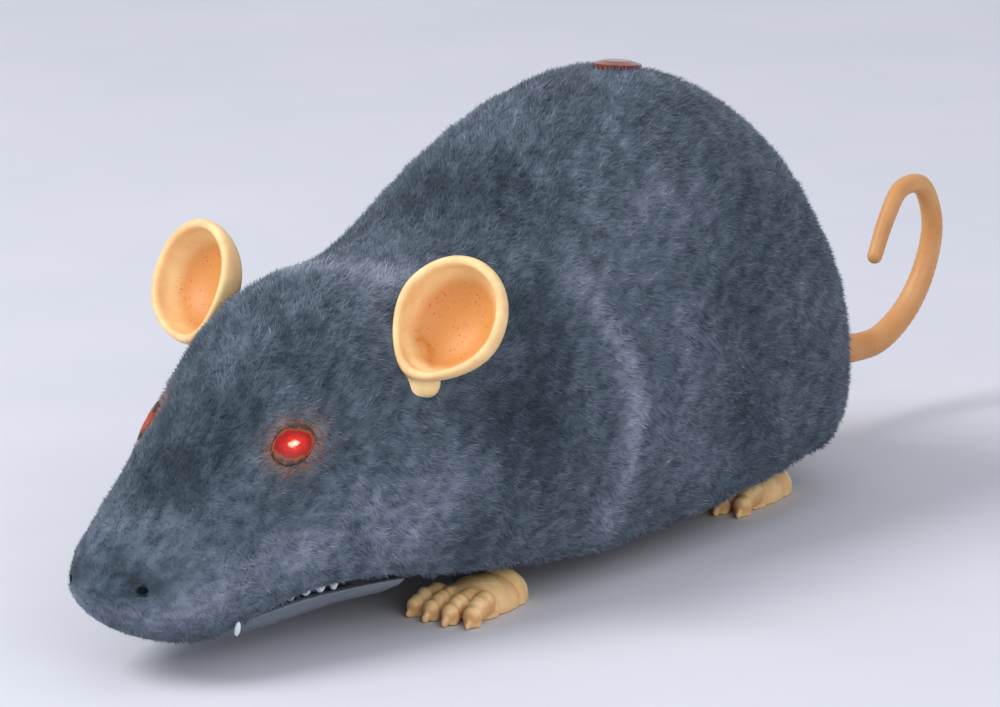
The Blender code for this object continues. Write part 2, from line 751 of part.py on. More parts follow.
def make_pan():
    """The belly pan: a stepped floor, lowest under the battery bay, with a low wall round its sides."""
    low_front = BAY_Y - BOX_HALF_Y - FRAME_END_WALL - PAN_THICKNESS
    low_rear = BAY_Y + BOX_HALF_Y + FRAME_END_WALL + PAN_THICKNESS
    outline = [
        (PAN_FRONT_Y, PAN_HIGH),
        (low_front, PAN_HIGH),
        (low_front, PAN_LOW),
        (low_rear, PAN_LOW),
        (low_rear, PAN_HIGH),
        (PAN_REAR_Y, PAN_HIGH),
        (PAN_REAR_Y, PAN_WALL_TOP),
        (PAN_FRONT_Y, PAN_WALL_TOP),
    ]
    pan = side_plate("belly_pan", outline, HALF_REACH, DARK_PLASTIC)
    above_floor = [
        (PAN_FRONT_Y - OVERRUN, PAN_HIGH_TOP),
        (low_front + PAN_THICKNESS, PAN_HIGH_TOP),
        (low_front + PAN_THICKNESS, PAN_LOW_TOP),
        (low_rear - PAN_THICKNESS, PAN_LOW_TOP),
        (low_rear - PAN_THICKNESS, PAN_HIGH_TOP),
        (PAN_REAR_Y + OVERRUN, PAN_HIGH_TOP),
        (PAN_REAR_Y + OVERRUN, PAN_WALL_TOP + OVERRUN),
        (PAN_FRONT_Y - OVERRUN, PAN_WALL_TOP + OVERRUN),
    ]
    room = side_plate("pan_room", above_floor, HALF_REACH + OVERRUN)
    keep(room, body_form("inside_pan_wall", SHELL_WALL + PAN_SIDE_GAP + PAN_WALL))
    cut(pan, room)
    keep(pan, body_form("inside_wall", SHELL_WALL + PAN_SIDE_GAP))
    bay_half = Vector((BOX_HALF_X + SEAT_GAP, BOX_HALF_Y + SEAT_GAP, 0))
    middle = Vector((0, BAY_Y, 0))
    over_floor, over_wall = Vector((0, 0, PAN_LOW_TOP + SEAT_GAP / 2)), Vector((0, 0, PAN_WALL_TOP + OVERRUN))
    cut(pan, box("battery_box_room", middle - bay_half + over_floor, middle + bay_half + over_wall))
    window_half = door_half_width() - DOOR_RAIL + RUN_GAP
    channel_half = door_half_width() + RUN_GAP
    front_edge = BAY_Y - BAY_HALF_Y
    cut(
        pan,
        box(
            "door_window",
            (-window_half, front_edge, -OVERRUN),
            (window_half, low_rear + OVERRUN, PAN_LOW_TOP - DOOR_FLANGE),
        ),
        box(
            "door_channel",
            (-channel_half, front_edge, PAN_LOW_TOP - DOOR_FLANGE - RUN_GAP),
            (channel_half, low_rear + OVERRUN, PAN_LOW_TOP + SEAT_GAP),
        ),
    )
    for number, (tab_front, tab_rear) in enumerate(door_tabs()):
        low = (-channel_half, tab_front + DOOR_SLIDE - RUN_GAP, -OVERRUN)
        high = (channel_half, tab_rear + DOOR_SLIDE + RUN_GAP, PAN_LOW_TOP)
        cut(pan, box(f"door_notch_{number + 1}", low, high))
    for name, sign, crank_y, pin, inward in leg_places():
        middle = crank_y + ankle_offset(inward)
        half = SHANK_WIDTH / 2 + CRANK_THROW + SLOT_EXTRA
        inner, outer = ARM_X - SLOT_EXTRA, ARM_X + ARM_THICKNESS + SLOT_EXTRA
        ends = sorted((sign * inner, sign * outer))
        high = (ends[1], middle + half, PAN_HIGH_TOP + OVERRUN)
        cut(pan, box(name + "_leg_slot", (ends[0], middle - half, 0), high))
    for name, (x, y) in case_screw_places():
        top = PAN_HIGH_TOP + OVERRUN
        cut(pan, rod(name + "_way", SCREW_RADIUS + RUN_GAP, 0, top, "Z", (x, y, 0), sides=12))
    reach = SWITCH_TRAVEL / 2 + KNOB_NECK / 2 + RUN_GAP
    half = KNOB_NECK / 2 + RUN_GAP
    through_pan = PAN_HIGH_TOP + OVERRUN
    cut(pan, box("switch_slot", (-reach, SWITCH_Y - half, 0), (reach, SWITCH_Y + half, through_pan)))
    centre = (0, jaw_screw_place(), 0)
    cut(pan, rod("jaw_screw_way", SCREW_RADIUS + RUN_GAP, 0, through_pan, "Z", centre, sides=12))
    return pan


def door_half_width():
    return BAY_HALF_X + DOOR_LAP


def door_tabs():
    """Where each pair of the door's side tabs starts and ends along the body, with the door shut."""
    front = BAY_Y - BAY_HALF_Y + RUN_GAP
    for place in (front, front + DOOR_TAB_PITCH):
        yield place, place + DOOR_TAB_LENGTH


def make_door():
    """The battery door: a flush plate with finger ribs. Its tabs slide back to notches in the pan's rails."""
    front = BAY_Y - BAY_HALF_Y + RUN_GAP
    rear = BAY_Y + BOX_HALF_Y + FRAME_END_WALL + PAN_THICKNESS
    half = door_half_width()
    inner = half - DOOR_RAIL
    door = box("battery_door", (-inner, front, PAN_LOW), (inner, rear, PAN_LOW_TOP), DARK_PLASTIC)
    for number, (tab_front, tab_rear) in enumerate(door_tabs()):
        low = (-half, tab_front, PAN_LOW_TOP - DOOR_FLANGE)
        join(door, box(f"door_tab_{number + 1}", low, (half, tab_rear, PAN_LOW_TOP - WELD_STEP)))
    for step in range(GRIP_RIB_COUNT):
        middle = rear - (step + 1) * GRIP_RIB_PITCH
        low = (-GRIP_RIB_HALF_LENGTH, middle - GRIP_RIB_WIDTH / 2, PAN_LOW - OVERRUN)
        high = (GRIP_RIB_HALF_LENGTH, middle + GRIP_RIB_WIDTH / 2, PAN_LOW + GRIP_DEPTH)
        cut(door, box(f"door_grip_{step + 1}", low, high))
    return door


def make_battery_box():
    """An open-bottomed box over the cells: five walls made from a surface with its lower side left off."""
    low = Vector((-BOX_HALF_X, BAY_Y - BOX_HALF_Y, PAN_LOW_TOP + SEAT_GAP))
    high = Vector((BOX_HALF_X, BAY_Y + BOX_HALF_Y, BOX_TOP_Z))
    shape = bmesh.new()
    bmesh.ops.create_cube(shape, size=1, matrix=Matrix.Diagonal((*(high - low), 1)))
    underside = min(shape.faces, key=lambda face: face.calc_center_median().z)
    bmesh.ops.delete(shape, geom=[underside], context="FACES_ONLY")
    made = from_bmesh("battery_box", shape, DARK_PLASTIC, Matrix.Translation((low + high) / 2))
    wall = made.modifiers.new("wall", "SOLIDIFY")
    wall.thickness = BOX_WALL
    wall.offset = -1
    wall.use_even_offset = True
    return made


def cell_places():
    """Each cell: name, its y, and the side its plus end points to."""
    yield "front", BAY_Y - CELL_SPACING / 2, 1
    yield "rear", BAY_Y + CELL_SPACING / 2, -1


def make_cells():
    for end, y, plus in cell_places():
        half = CELL_LENGTH / 2
        shoulder = half - CELL_NUB_HEIGHT
        profile = [
            (0, half),
            (CELL_NUB_RADIUS, half),
            (CELL_NUB_RADIUS, shoulder),
            (CELL_RADIUS, shoulder),
            (CELL_RADIUS, -half),
            (0, -half),
        ]
        place = Matrix.Translation((0, y, CELL_Z)) @ Matrix.Rotation(plus * math.pi / 2, 4, "Y")
        turned(f"{end}_battery_cell", profile, CELL_YELLOW, place, steps=24)
        wall_x = BAY_HALF_X - SEAT_GAP
        plate_x = plus * (wall_x - PLATE_THICKNESS / 2)
        corner = Vector((PLATE_THICKNESS / 2, PLATE_HALF_WIDTH, PLATE_HALF_WIDTH))
        nub_room = BAY_HALF_X - CELL_LENGTH / 2 - SEAT_GAP - PLATE_THICKNESS
        middle = Vector((plate_x, y, CELL_Z))
        contact = box(f"{end}_contact_plate", middle - corner, middle + corner, STEEL)
        button = rod(
            f"{end}_contact_button",
            CELL_NUB_RADIUS,
            min(plate_x, plus * (wall_x - nub_room)),
            max(plate_x, plus * (wall_x - nub_room)),
            "X",
            (0, y, CELL_Z),
            sides=12,
        )
        join(contact, button)
        spring_start = -plus * (CELL_LENGTH / 2 + SEAT_GAP + SPRING_WIRE_RADIUS)
        spring_end = -plus * (wall_x - SPRING_WIRE_RADIUS)
        points = []
        for step in range(SPRING_TURNS * 10 + 1):
            turn = 2 * math.pi * step / 10
            part = step / (SPRING_TURNS * 10)
            reach = SPRING_RADIUS * (0.65 + 0.35 * part)
            x = spring_start + (spring_end - spring_start) * part
            points.append((x, y + reach * math.cos(turn), CELL_Z + reach * math.sin(turn)))
        tube(f"{end}_contact_spring", points, [SPRING_WIRE_RADIUS] * len(points), STEEL, sides_step=0)


def make_motor():
    """A flat-sided can motor with a bearing boss at each end, bored for the shaft that passes through it."""
    front, rear = BAY_Y - MOTOR_LENGTH / 2, BAY_Y + MOTOR_LENGTH / 2
    centre = (0, 0, DRIVE_Z)
    motor = rod("motor", MOTOR_RADIUS, front, rear, "Y", centre, STEEL, sides=28)
    half = MOTOR_HEIGHT / 2
    low = (-MOTOR_RADIUS - OVERRUN, front - OVERRUN, DRIVE_Z - half)
    high = (MOTOR_RADIUS + OVERRUN, rear + OVERRUN, DRIVE_Z + half)
    keep(motor, box("motor_flats", low, high))
    boss_start, boss_end = front - MOTOR_BOSS_LENGTH, rear + MOTOR_BOSS_LENGTH
    join(motor, rod("motor_bosses", MOTOR_BOSS_RADIUS, boss_start, boss_end, "Y", centre, sides=16))
    start, end = boss_start - OVERRUN, boss_end + OVERRUN
    cut(motor, rod("motor_bore", DRIVE_BORE_RADIUS, start, end, "Y", centre, sides=12))
    top = DRIVE_Z + half + SEAT_GAP
    inner = MOTOR_RADIUS + SEAT_GAP
    foot = BOX_TOP_Z + SEAT_GAP
    outer = inner + CLAMP_THICKNESS
    strap = [
        (-outer - CLAMP_FOOT, foot),
        (-inner, foot),
        (-inner, top),
        (inner, top),
        (inner, foot),
        (outer + CLAMP_FOOT, foot),
        (outer + CLAMP_FOOT, foot + CLAMP_THICKNESS),
        (outer, foot + CLAMP_THICKNESS),
        (outer, top + CLAMP_THICKNESS),
        (-outer, top + CLAMP_THICKNESS),
        (-outer, foot + CLAMP_THICKNESS),
        (-outer - CLAMP_FOOT, foot + CLAMP_THICKNESS),
    ]
    across = Matrix(((1, 0, 0, 0), (0, 0, -1, BAY_Y), (0, 1, 0, 0), (0, 0, 0, 1)))
    plate("motor_clamp", [strap], CLAMP_WIDTH, STEEL, across)


def frame_span(crank_y, inward):
    """Where a gear frame starts and ends along the body: its end wall outermost, past the wheel."""
    outer = crank_y - inward * FRAME_REACH
    inner = crank_y + inward * (IDLER_SPACING + BORE_RADIUS + FRAME_WALL)
    return outer, inner


def make_drive():
    """The shaft through the motor, its two worms, and for each end its frame, wheel and crankshaft."""
    ends = []
    for end, crank_y, inward in (("front", FRONT_CRANK_Y, 1), ("rear", REAR_CRANK_Y, -1)):
        outer, inner = frame_span(crank_y, inward)
        ends.append(outer + inward * SEAT_GAP)
        low_y, high_y = sorted((outer, inner))
        base = PAN_HIGH_TOP + SEAT_GAP
        top = DRIVE_Z + FRAME_RISE
        low, high = (-FRAME_HALF_WIDTH, low_y, base), (FRAME_HALF_WIDTH, high_y, top)
        frame = box(f"{end}_gear_frame", low, high, DARK_PLASTIC)
        room_y = sorted((outer + inward * FRAME_END_WALL, inner + inward * OVERRUN))
        room_half = FRAME_HALF_WIDTH - FRAME_WALL
        cut(frame, box(f"{end}_gear_room", (-room_half, room_y[0], 0), (room_half, room_y[1], top + OVERRUN)))
        for place, y in (("crank", crank_y), ("idler", crank_y + inward * IDLER_SPACING)):
            reach = FRAME_HALF_WIDTH + OVERRUN
            centre = (0, y, CRANK_Z)
            cut(frame, rod(f"{end}_{place}_bearing", BORE_RADIUS, -reach, reach, "X", centre, sides=16))
        bearing_y = sorted((outer - inward * OVERRUN, outer + inward * (FRAME_END_WALL + OVERRUN)))
        cut(frame, rod(f"{end}_drive_bearing", DRIVE_BORE_RADIUS, *bearing_y, "Y", (0, 0, DRIVE_Z), sides=12))
        shaft_half = DISC_X + CRANK_DISC_THICKNESS * 0.7
        centre = (0, crank_y, CRANK_Z)
        rod(f"{end}_crankshaft", CRANK_SHAFT_RADIUS, -shaft_half, shaft_half, "X", centre, STEEL, sides=16)
        make_wheel(f"{end}_worm_wheel", crank_y)
        make_worm(f"{end}_worm", crank_y)
    rod("drive_shaft", DRIVE_RADIUS, ends[0], ends[1], "Y", (0, 0, DRIVE_Z), STEEL, sides=12)


def make_wheel(name, crank_y):
    """A worm wheel: straight teeth with a space at the top, where the worm's thread passes."""
    rim = []
    for tooth in range(TOOTH_COUNT):
        middle = math.pi / 2 + 2 * math.pi * (tooth + 0.5) / TOOTH_COUNT
        root, tip = WHEEL_RADIUS - TOOTH_DEDENDUM, WHEEL_TIP_RADIUS
        root_turn, tip_turn = math.asin(TOOTH_ROOT_HALF / root), math.asin(TOOTH_TIP_HALF / tip)
        for radius, turn in ((root, -root_turn), (tip, -tip_turn), (tip, tip_turn), (root, root_turn)):
            rim.append((radius * math.cos(middle + turn), radius * math.sin(middle + turn)))
    across = Matrix(((0, 0, 1, 0), (1, 0, 0, crank_y), (0, 1, 0, CRANK_Z), (0, 0, 0, 1)))
    return plate(name, [rim, circle(BORE_RADIUS, sides=16)], WHEEL_WIDTH, GEAR_PLASTIC, across)


def make_worm(name, crank_y):
    half = WORM_LENGTH / 2
    centre = (0, 0, DRIVE_Z)
    worm = rod(name, WORM_CORE_RADIUS, crank_y - half, crank_y + half, "Y", centre, GEAR_PLASTIC, sides=12)
    points = []
    steps = round(WORM_TURNS * WORM_POINTS_PER_TURN)
    thread_radius = WORM_CORE_RADIUS + WORM_WIRE_RADIUS * 0.65
    for step in range(-steps // 2, steps // 2 + 1):
        turn = 2 * math.pi * step / WORM_POINTS_PER_TURN
        y = crank_y + WORM_PITCH * step / WORM_POINTS_PER_TURN
        points.append((thread_radius * math.sin(turn), y, DRIVE_Z - thread_radius * math.cos(turn)))
    join(worm, tube(name + "_thread", points, [WORM_WIRE_RADIUS] * len(points), sides_step=0))
    reach = half + OVERRUN
    start, end = crank_y - reach, crank_y + reach
    return cut(worm, rod(name + "_bore", DRIVE_BORE_RADIUS, start, end, "Y", centre, sides=12))


def crank_piece(name, sign, y, pin_side, shaft_reach):
    """A disc with its eccentric pin and the pin's snap head, and a bore for a shaft or a stub of its own."""
    faces = sorted((sign * DISC_X, sign * (DISC_X + CRANK_DISC_THICKNESS)))
    disc = rod(name, CRANK_DISC_RADIUS, *faces, "X", (0, y, CRANK_Z), GEAR_PLASTIC, sides=18)
    pin_y = y + pin_side * CRANK_THROW
    start = DISC_X + CRANK_DISC_THICKNESS / 2
    pin_ends = sorted((sign * start, sign * PIN_END_X))
    head_ends = sorted((sign * (PIN_END_X - PIN_HEAD_THICKNESS), sign * PIN_END_X))
    if shaft_reach is None:
        bore_ends = sorted((sign * (DISC_X - OVERRUN), sign * (DISC_X + CRANK_DISC_THICKNESS * 0.8)))
        cut(disc, rod(name + "_bore", BORE_RADIUS, *bore_ends, "X", (0, y, CRANK_Z), sides=14))
        start = DISC_X + CRANK_DISC_THICKNESS * 0.85
        pin_ends = sorted((sign * start, sign * PIN_END_X))
    else:
        stub_ends = sorted((sign * (DISC_X - shaft_reach), sign * start))
        join(disc, rod(name + "_stub", CRANK_SHAFT_RADIUS, *stub_ends, "X", (0, y, CRANK_Z), sides=12))
    join(disc, rod(name + "_pin", PIN_RADIUS, *pin_ends, "X", (0, pin_y, CRANK_Z), sides=12))
    join(disc, rod(name + "_head", PIN_HEAD_RADIUS, *head_ends, "X", (0, pin_y, CRANK_Z), sides=12))
    return disc


def make_leg(name, sign, crank_y, pin_side, inward):
    """A leg's two cranks, its arm with an eye on each pin, and the paw on its ankle."""
    crank_piece(f"{name}_crank", sign, crank_y, pin_side, None)
    stub = FRAME_WALL + SEAT_GAP + CRANK_DISC_THICKNESS / 2
    crank_piece(f"{name}_idler_crank", sign, crank_y + inward * IDLER_SPACING, pin_side, stub)
    eye_y = crank_y + pin_side * CRANK_THROW
    ankle = ankle_offset(inward)
    outward, paw_offset = paw_place(inward)
    ankle_z = ANKLE_DEPTH - CRANK_Z
    far = inward * IDLER_SPACING
    knee_z = -ARM_EYE_RADIUS - SHANK_WIDTH / 2
    outline = arc(ARM_EYE_RADIUS, (0, 0), 90, 90 + inward * 115)
    outline += [(ankle - inward * SHANK_WIDTH / 2, knee_z)]
    outline += [(ankle - inward * ANKLE_WIDTH / 2, ankle_z), (ankle + inward * ANKLE_WIDTH / 2, ankle_z)]
    outline += [(ankle + inward * SHANK_WIDTH / 2, knee_z)]
    outline += [(ankle + inward * SHANK_WIDTH * 0.75, -ARM_EYE_RADIUS)]
    outline += arc(ARM_EYE_RADIUS, (far, 0), -90, -90 + inward * 180)
    holes = [circle(BORE_RADIUS, (0, 0), 16), circle(BORE_RADIUS, (far, 0), 16)]
    middle_x = sign * (ARM_X + ARM_THICKNESS / 2)
    across = Matrix(((0, 0, 1, middle_x), (1, 0, 0, eye_y), (0, 1, 0, CRANK_Z), (0, 0, 0, 1)))
    arm = plate(f"{name}_leg_arm", [outline, *holes], ARM_THICKNESS, DARK_PLASTIC, across)
    paw_x = middle_x + sign * outward
    paw = make_paw(f"{name}_paw", sign, paw_x, eye_y + paw_offset, eye_y + ankle)
    hang(f"{name}_leg_pivot", (middle_x, eye_y, CRANK_Z), arm, paw)


def hang(name, centre, *pieces):
    """An empty on a joint's axis that carries the pieces moved by that joint."""
    pivot = bpy.data.objects.new(name, None)
    PARTS.objects.link(pivot)
    place = Matrix.Translation(centre)
    pivot.matrix_world = place
    for piece in pieces:
        piece.parent = pivot
        piece.matrix_parent_inverse = place.inverted()


def blob(name, size, place, sides):
    """A rounded lump: a sphere drawn out to the given length, width and height."""
    shape = bmesh.new()
    bmesh.ops.create_uvsphere(
        shape, u_segments=sides[0], v_segments=sides[1], radius=0.5, matrix=Matrix.Diagonal((*size, 1))
    )
    return from_bmesh(name, shape, None, place, smooth=True)


def make_paw(name, sign, middle_x, paw_y, ankle_y):
    """A paw: a rounded foot with a heel, four fanned toes in front and a socket for the ankle, flat below."""
    palm_length = PAW_LENGTH * 0.72
    palm_y = paw_y + (PAW_LENGTH - palm_length) / 2
    shape = bmesh.new()
    bmesh.ops.create_uvsphere(
        shape,
        u_segments=16,
        v_segments=8,
        radius=0.5,
        matrix=Matrix.Diagonal((PAW_WIDTH, palm_length, 2 * (PAW_HEIGHT - PAW_LIFT), 1)),
    )
    paw = from_bmesh(name, shape, VINYL, Matrix.Translation((middle_x, palm_y, PAW_LIFT)), smooth=True)
    for toe in range(TOE_COUNT):
        spread = toe - (TOE_COUNT - 1) / 2
        turn = math.radians(TOE_FAN_DEG) * spread
        root = Vector((middle_x + spread * TOE_RADIUS * 1.45, paw_y - PAW_LENGTH * 0.27, TOE_RADIUS * 0.75))
        place = Matrix.Translation(root) @ Matrix.Rotation(turn, 4, "Z")
        size = (2 * TOE_RADIUS, TOE_LENGTH, 2.2 * TOE_RADIUS)
        join(paw, blob(f"{name}_toe_{toe + 1}", size, place, (8, 6)))
    reach = PAW_LENGTH
    low = (middle_x - reach, paw_y - reach, -reach)
    cut(paw, box(name + "_ground", low, (middle_x + reach, paw_y + reach, 0)))
    sleeve = SEAT_GAP + VINYL_WALL
    arm_faces = sorted((sign * ARM_X, sign * (ARM_X + ARM_THICKNESS)))
    half = ANKLE_WIDTH / 2 + SEAT_GAP
    collar_low = (arm_faces[0] - sleeve, ankle_y - half - sleeve, ANKLE_DEPTH / 2)
    collar_high = (arm_faces[1] + sleeve, ankle_y + half + sleeve, PAW_HEIGHT)
    join(paw, box(name + "_ankle", collar_low, collar_high))
    low = (arm_faces[0] - SEAT_GAP, ankle_y - half, ANKLE_DEPTH - SEAT_GAP)
    high = (arm_faces[1] + SEAT_GAP, ankle_y + half, PAW_HEIGHT + OVERRUN)
    return cut(paw, box(name + "_socket", low, high))


def ear_frame(sign):
    """Where an ear stands: origin at its root on the head, Z up the ear, -Y the way its cup faces."""
    root = form_frame(EAR_ALONG_SHARE, EAR_AROUND_DEG, sign).translation
    lean = Matrix.Rotation(sign * math.radians(EAR_LEAN_DEG), 4, "Y")
    return Matrix.Translation(root) @ lean @ Matrix.Rotation(-math.radians(EAR_BACK_DEG), 4, "X")


def ear_peg(name, sign, extra):
    """The ear's peg through the shell, or with a clearance the hole for it."""
    root = form_frame(EAR_ALONG_SHARE, EAR_AROUND_DEG, sign)
    reach = EAR_PEG_INSIDE + extra
    profile = [
        (0, EAR_DEPTH),
        (EAR_PEG_RADIUS + extra, EAR_DEPTH),
        (EAR_PEG_RADIUS + extra, -reach),
        (0, -reach),
    ]
    return turned(name, profile, place=root, steps=14)


def make_ear(side, sign):
    """A vinyl ear: an egg-shaped cup, narrow at its foot and open in front, on a peg pushed into the head."""
    shape = bmesh.new()
    size = Matrix.Diagonal((EAR_WIDTH, 2 * EAR_DEPTH, EAR_HEIGHT, 1))
    turn = Matrix.Rotation(math.pi / 2, 4, "X")
    bmesh.ops.create_uvsphere(shape, u_segments=20, v_segments=14, radius=0.5, matrix=size @ turn)
    front = [face for face in shape.faces if face.calc_center_median().y < 0]
    bmesh.ops.delete(shape, geom=front, context="FACES")
    for corner in shape.verts:
        up = min(1, (corner.co.z / EAR_HEIGHT + 0.5) / EAR_FULL_SHARE)
        corner.co.x *= EAR_FOOT_SHARE + (1 - EAR_FOOT_SHARE) * math.sin(max(0, up) * math.pi / 2)
    place = ear_frame(sign) @ Matrix.Translation((0, -EAR_DEPTH * 0.3, EAR_HEIGHT * 0.40))
    ear = from_bmesh(f"{side}_ear", shape, VINYL, place, smooth=True)
    wall = ear.modifiers.new("wall", "SOLIDIFY")
    wall.thickness = VINYL_WALL
    wall.offset = -1
    wall.use_even_offset = True
    cut(ear, body_form(f"{side}_ear_seat", -SEAT_GAP))
    return join(ear, ear_peg(f"{side}_ear_peg", sign, 0))


def eye_plug(name, sign, extra, proud, material=None):
    """The oval plug of an eye lens, or with a clearance the hole for it."""
    half_long, half_high = EYE_LENGTH / 2 + extra, EYE_HEIGHT / 2 + extra
    inside = EYE_INSIDE + extra
    outline = [(half_long / half_high * x, y) for x, y in circle(half_high, sides=18)]
    middle = Matrix.Translation((0, 0, (proud - inside) / 2))
    place = form_frame(EYE_ALONG_SHARE, EYE_AROUND_DEG, sign) @ middle
    return plate(name, [outline], proud + inside, material, place)


def make_eye(side, sign):
    lens = eye_plug(f"{side}_eye_lens", sign, 0, EYE_PROUD, RED_LENS)
    dome = lens.modifiers.new("domed_edge", "BEVEL")
    dome.width = EYE_PROUD * 0.8
    dome.segments = 3
    dome.limit_method = "ANGLE"
    back = -EYE_INSIDE - SEAT_GAP
    profile = [
        (0, back),
        (LED_RADIUS * 0.75, back - LED_RADIUS * 0.2),
        (LED_RADIUS, back - LED_RADIUS * 0.8),
        (LED_RADIUS, back - LED_LENGTH + LED_FLANGE),
        (LED_FLANGE_RADIUS, back - LED_LENGTH + LED_FLANGE),
        (LED_FLANGE_RADIUS, back - LED_LENGTH),
        (0, back - LED_LENGTH),
    ]
    turned(f"{side}_eye_led", profile, CLEAR_LED, form_frame(EYE_ALONG_SHARE, EYE_AROUND_DEG, sign), steps=14)


def make_window():
    """The receiver window on the back: a low red dome with a flange under the shell."""
    under = -SHELL_WALL - WINDOW_SAG
    profile = [
        (0, WINDOW_PROUD),
        (WINDOW_RADIUS * 0.55, WINDOW_PROUD * 0.85),
        (WINDOW_RADIUS, WINDOW_PROUD * 0.1),
        (WINDOW_RADIUS, under),
        (WINDOW_RADIUS + WINDOW_FLANGE, under),
        (WINDOW_RADIUS + WINDOW_FLANGE, under - WINDOW_FLANGE),
        (0, under - WINDOW_FLANGE),
    ]
    turned("receiver_window", profile, RED_LENS, form_frame(WINDOW_ALONG_SHARE, 90), steps=18)


def jaw_drop(share):
    knots = np.array(MOUTH_GAP_SHARES)
    return MOUTH_GAP * float(np.interp(share, knots[:, 0], knots[:, 1]))


def jaw_screw_place():
    return JAW_REAR_Y + JAW_TONGUE_LENGTH - BOSS_RADIUS


def make_jaw():
    """The lower jaw: a thin tray that follows the form under the lip, with a tongue under the pan's front."""
    jaw = body_form("lower_jaw", JAW_INSET, JAW_PLASTIC, rings=FORM_RINGS, around=FORM_POINTS)
    wall = jaw.modifiers.new("wall", "SOLIDIFY")
    wall.thickness = JAW_WALL
    wall.offset = -1
    wall.use_even_offset = True
    rear_share = y_to_along(JAW_REAR_Y)
    under_lip = edge_line(JAW_FRONT_SHARE, rear_share, 10, gap_share=1)
    under_lip += [(JAW_REAR_Y, -OVERRUN), (along_to_y(JAW_FRONT_SHARE), -OVERRUN)]
    keep(jaw, side_plate("under_the_lip", under_lip, HALF_REACH))
    tongue_top = PAN_HIGH - SEAT_GAP
    tongue_low = tongue_top - JAW_TONGUE_THICKNESS
    foot_y = JAW_REAR_Y - JAW_TONGUE_LENGTH / 3
    floor_z = section(y_to_along(foot_y))[2] + JAW_INSET + JAW_WALL / 2
    low = (-JAW_TONGUE_HALF_WIDTH, foot_y, min(tongue_low, floor_z))
    high = (JAW_TONGUE_HALF_WIDTH, JAW_REAR_Y - WELD_STEP, tongue_top - WELD_STEP)
    join(jaw, box("jaw_tongue_foot", low, high))
    low = (-JAW_TONGUE_HALF_WIDTH + WELD_STEP, foot_y + WELD_STEP, tongue_low)
    high = (JAW_TONGUE_HALF_WIDTH - WELD_STEP, JAW_REAR_Y + JAW_TONGUE_LENGTH, tongue_top)
    join(jaw, box("jaw_tongue", low, high))
    centre = (0, jaw_screw_place(), 0)
    way = rod("tongue_screw_way", SCREW_RADIUS + RUN_GAP, 0, PAN_HIGH, "Z", centre, sides=12)
    cut(jaw, way)
    length = JAW_TONGUE_THICKNESS + PAN_THICKNESS + SEAT_GAP
    screw("jaw_screw", (0, jaw_screw_place()), tongue_low - SEAT_GAP, length)


def form_half_width(share, height, inset):
    """Half width of the drawn-in form at a share of the length and a height below its widest level."""
    half_width, top, bottom, exponent = section(share)
    middle = bottom + WIDEST_SHARE * (top - bottom)
    depth = (middle - height) / (middle - bottom - inset)
    return (half_width - inset) * max(0, 1 - abs(depth) ** exponent) ** (1 / exponent)


def make_teeth():
    """The upper teeth on a plate inside the lip, and a pair of lower teeth on a bar across the jaw."""
    front, rear = TOOTH_PLATE_FRONT_SHARE, y_to_along(TOOTH_PLATE_REAR_Y)
    band = edge_line(front, rear, 9, TOOTH_PLATE_RISE)
    band += edge_line(front, rear, 9, TOOTH_PLATE_RISE + TOOTH_PLATE_THICKNESS)[::-1]
    teeth = side_plate("upper_teeth", band, HALF_REACH, WHITE_PLASTIC)
    keep(teeth, body_form("inside_lip", SHELL_WALL + PAN_SIDE_GAP, rings=FORM_RINGS, around=FORM_POINTS))
    for side, sign in FACING.items():
        for number, share in enumerate(UPPER_TOOTH_SHARES):
            root_z = edge_height(share) + TOOTH_PLATE_RISE + TOOTH_PLATE_THICKNESS / 2
            x = form_half_width(share, edge_height(share), TOOTH_INSET)
            place = (sign * x, along_to_y(share), 0)
            tip_z = root_z - TOOTH_LENGTH
            name = f"{side}_upper_tooth_{number + 1}"
            tip_radius = TOOTH_RADIUS * TOOTH_TIP_SHARE
            join(teeth, rod(name, tip_radius, tip_z, root_z, "Z", place, sides=8, end_radius=TOOTH_RADIUS))
    share = LOWER_TOOTH_SHARE
    y = along_to_y(share)
    half_width, top, bottom, exponent = section(share)
    floor_z = bottom + JAW_INSET + JAW_WALL + LOWER_TOOTH_SEAT
    inset = JAW_INSET + JAW_WALL + TOOTH_RADIUS
    x = form_half_width(share, edge_height(share) - jaw_drop(share), inset) * LOWER_BAR_SHARE
    bar_z = floor_z + TOOTH_RADIUS
    low, high = (-x, y - TOOTH_RADIUS, bar_z), (x, y + TOOTH_RADIUS, bar_z + TOOTH_RADIUS)
    bar = box("lower_teeth", low, high, WHITE_PLASTIC)
    tooth_x = x - TOOTH_RADIUS
    top_z = min(bar_z + LOWER_TOOTH_LENGTH, edge_height(share) + TOOTH_PLATE_RISE - SEAT_GAP)
    for side, sign in FACING.items():
        place = (sign * tooth_x, y, 0)
        name = f"{side}_lower_tooth"
        root_radius, tip_radius = TOOTH_RADIUS - WELD_STEP, TOOTH_RADIUS * TOOTH_TIP_SHARE
        join(bar, rod(name, root_radius, bar_z, top_z, "Z", place, sides=8, end_radius=tip_radius))
    foot = rod("lower_teeth_foot", TOOTH_RADIUS, floor_z, bar_z + TOOTH_RADIUS / 2, "Z", (0, y, 0), sides=10)
    join(bar, foot)


def tail_route():
    scale = Vector((TAIL_SWING, TAIL_REACH, TAIL_CURL_HEIGHT))
    route = []
    for sideways, back, up in TAIL_ROUTE_SHARES:
        route.append((scale.x * sideways, RUMP_Y + scale.y * back, scale.z * up))
    return route


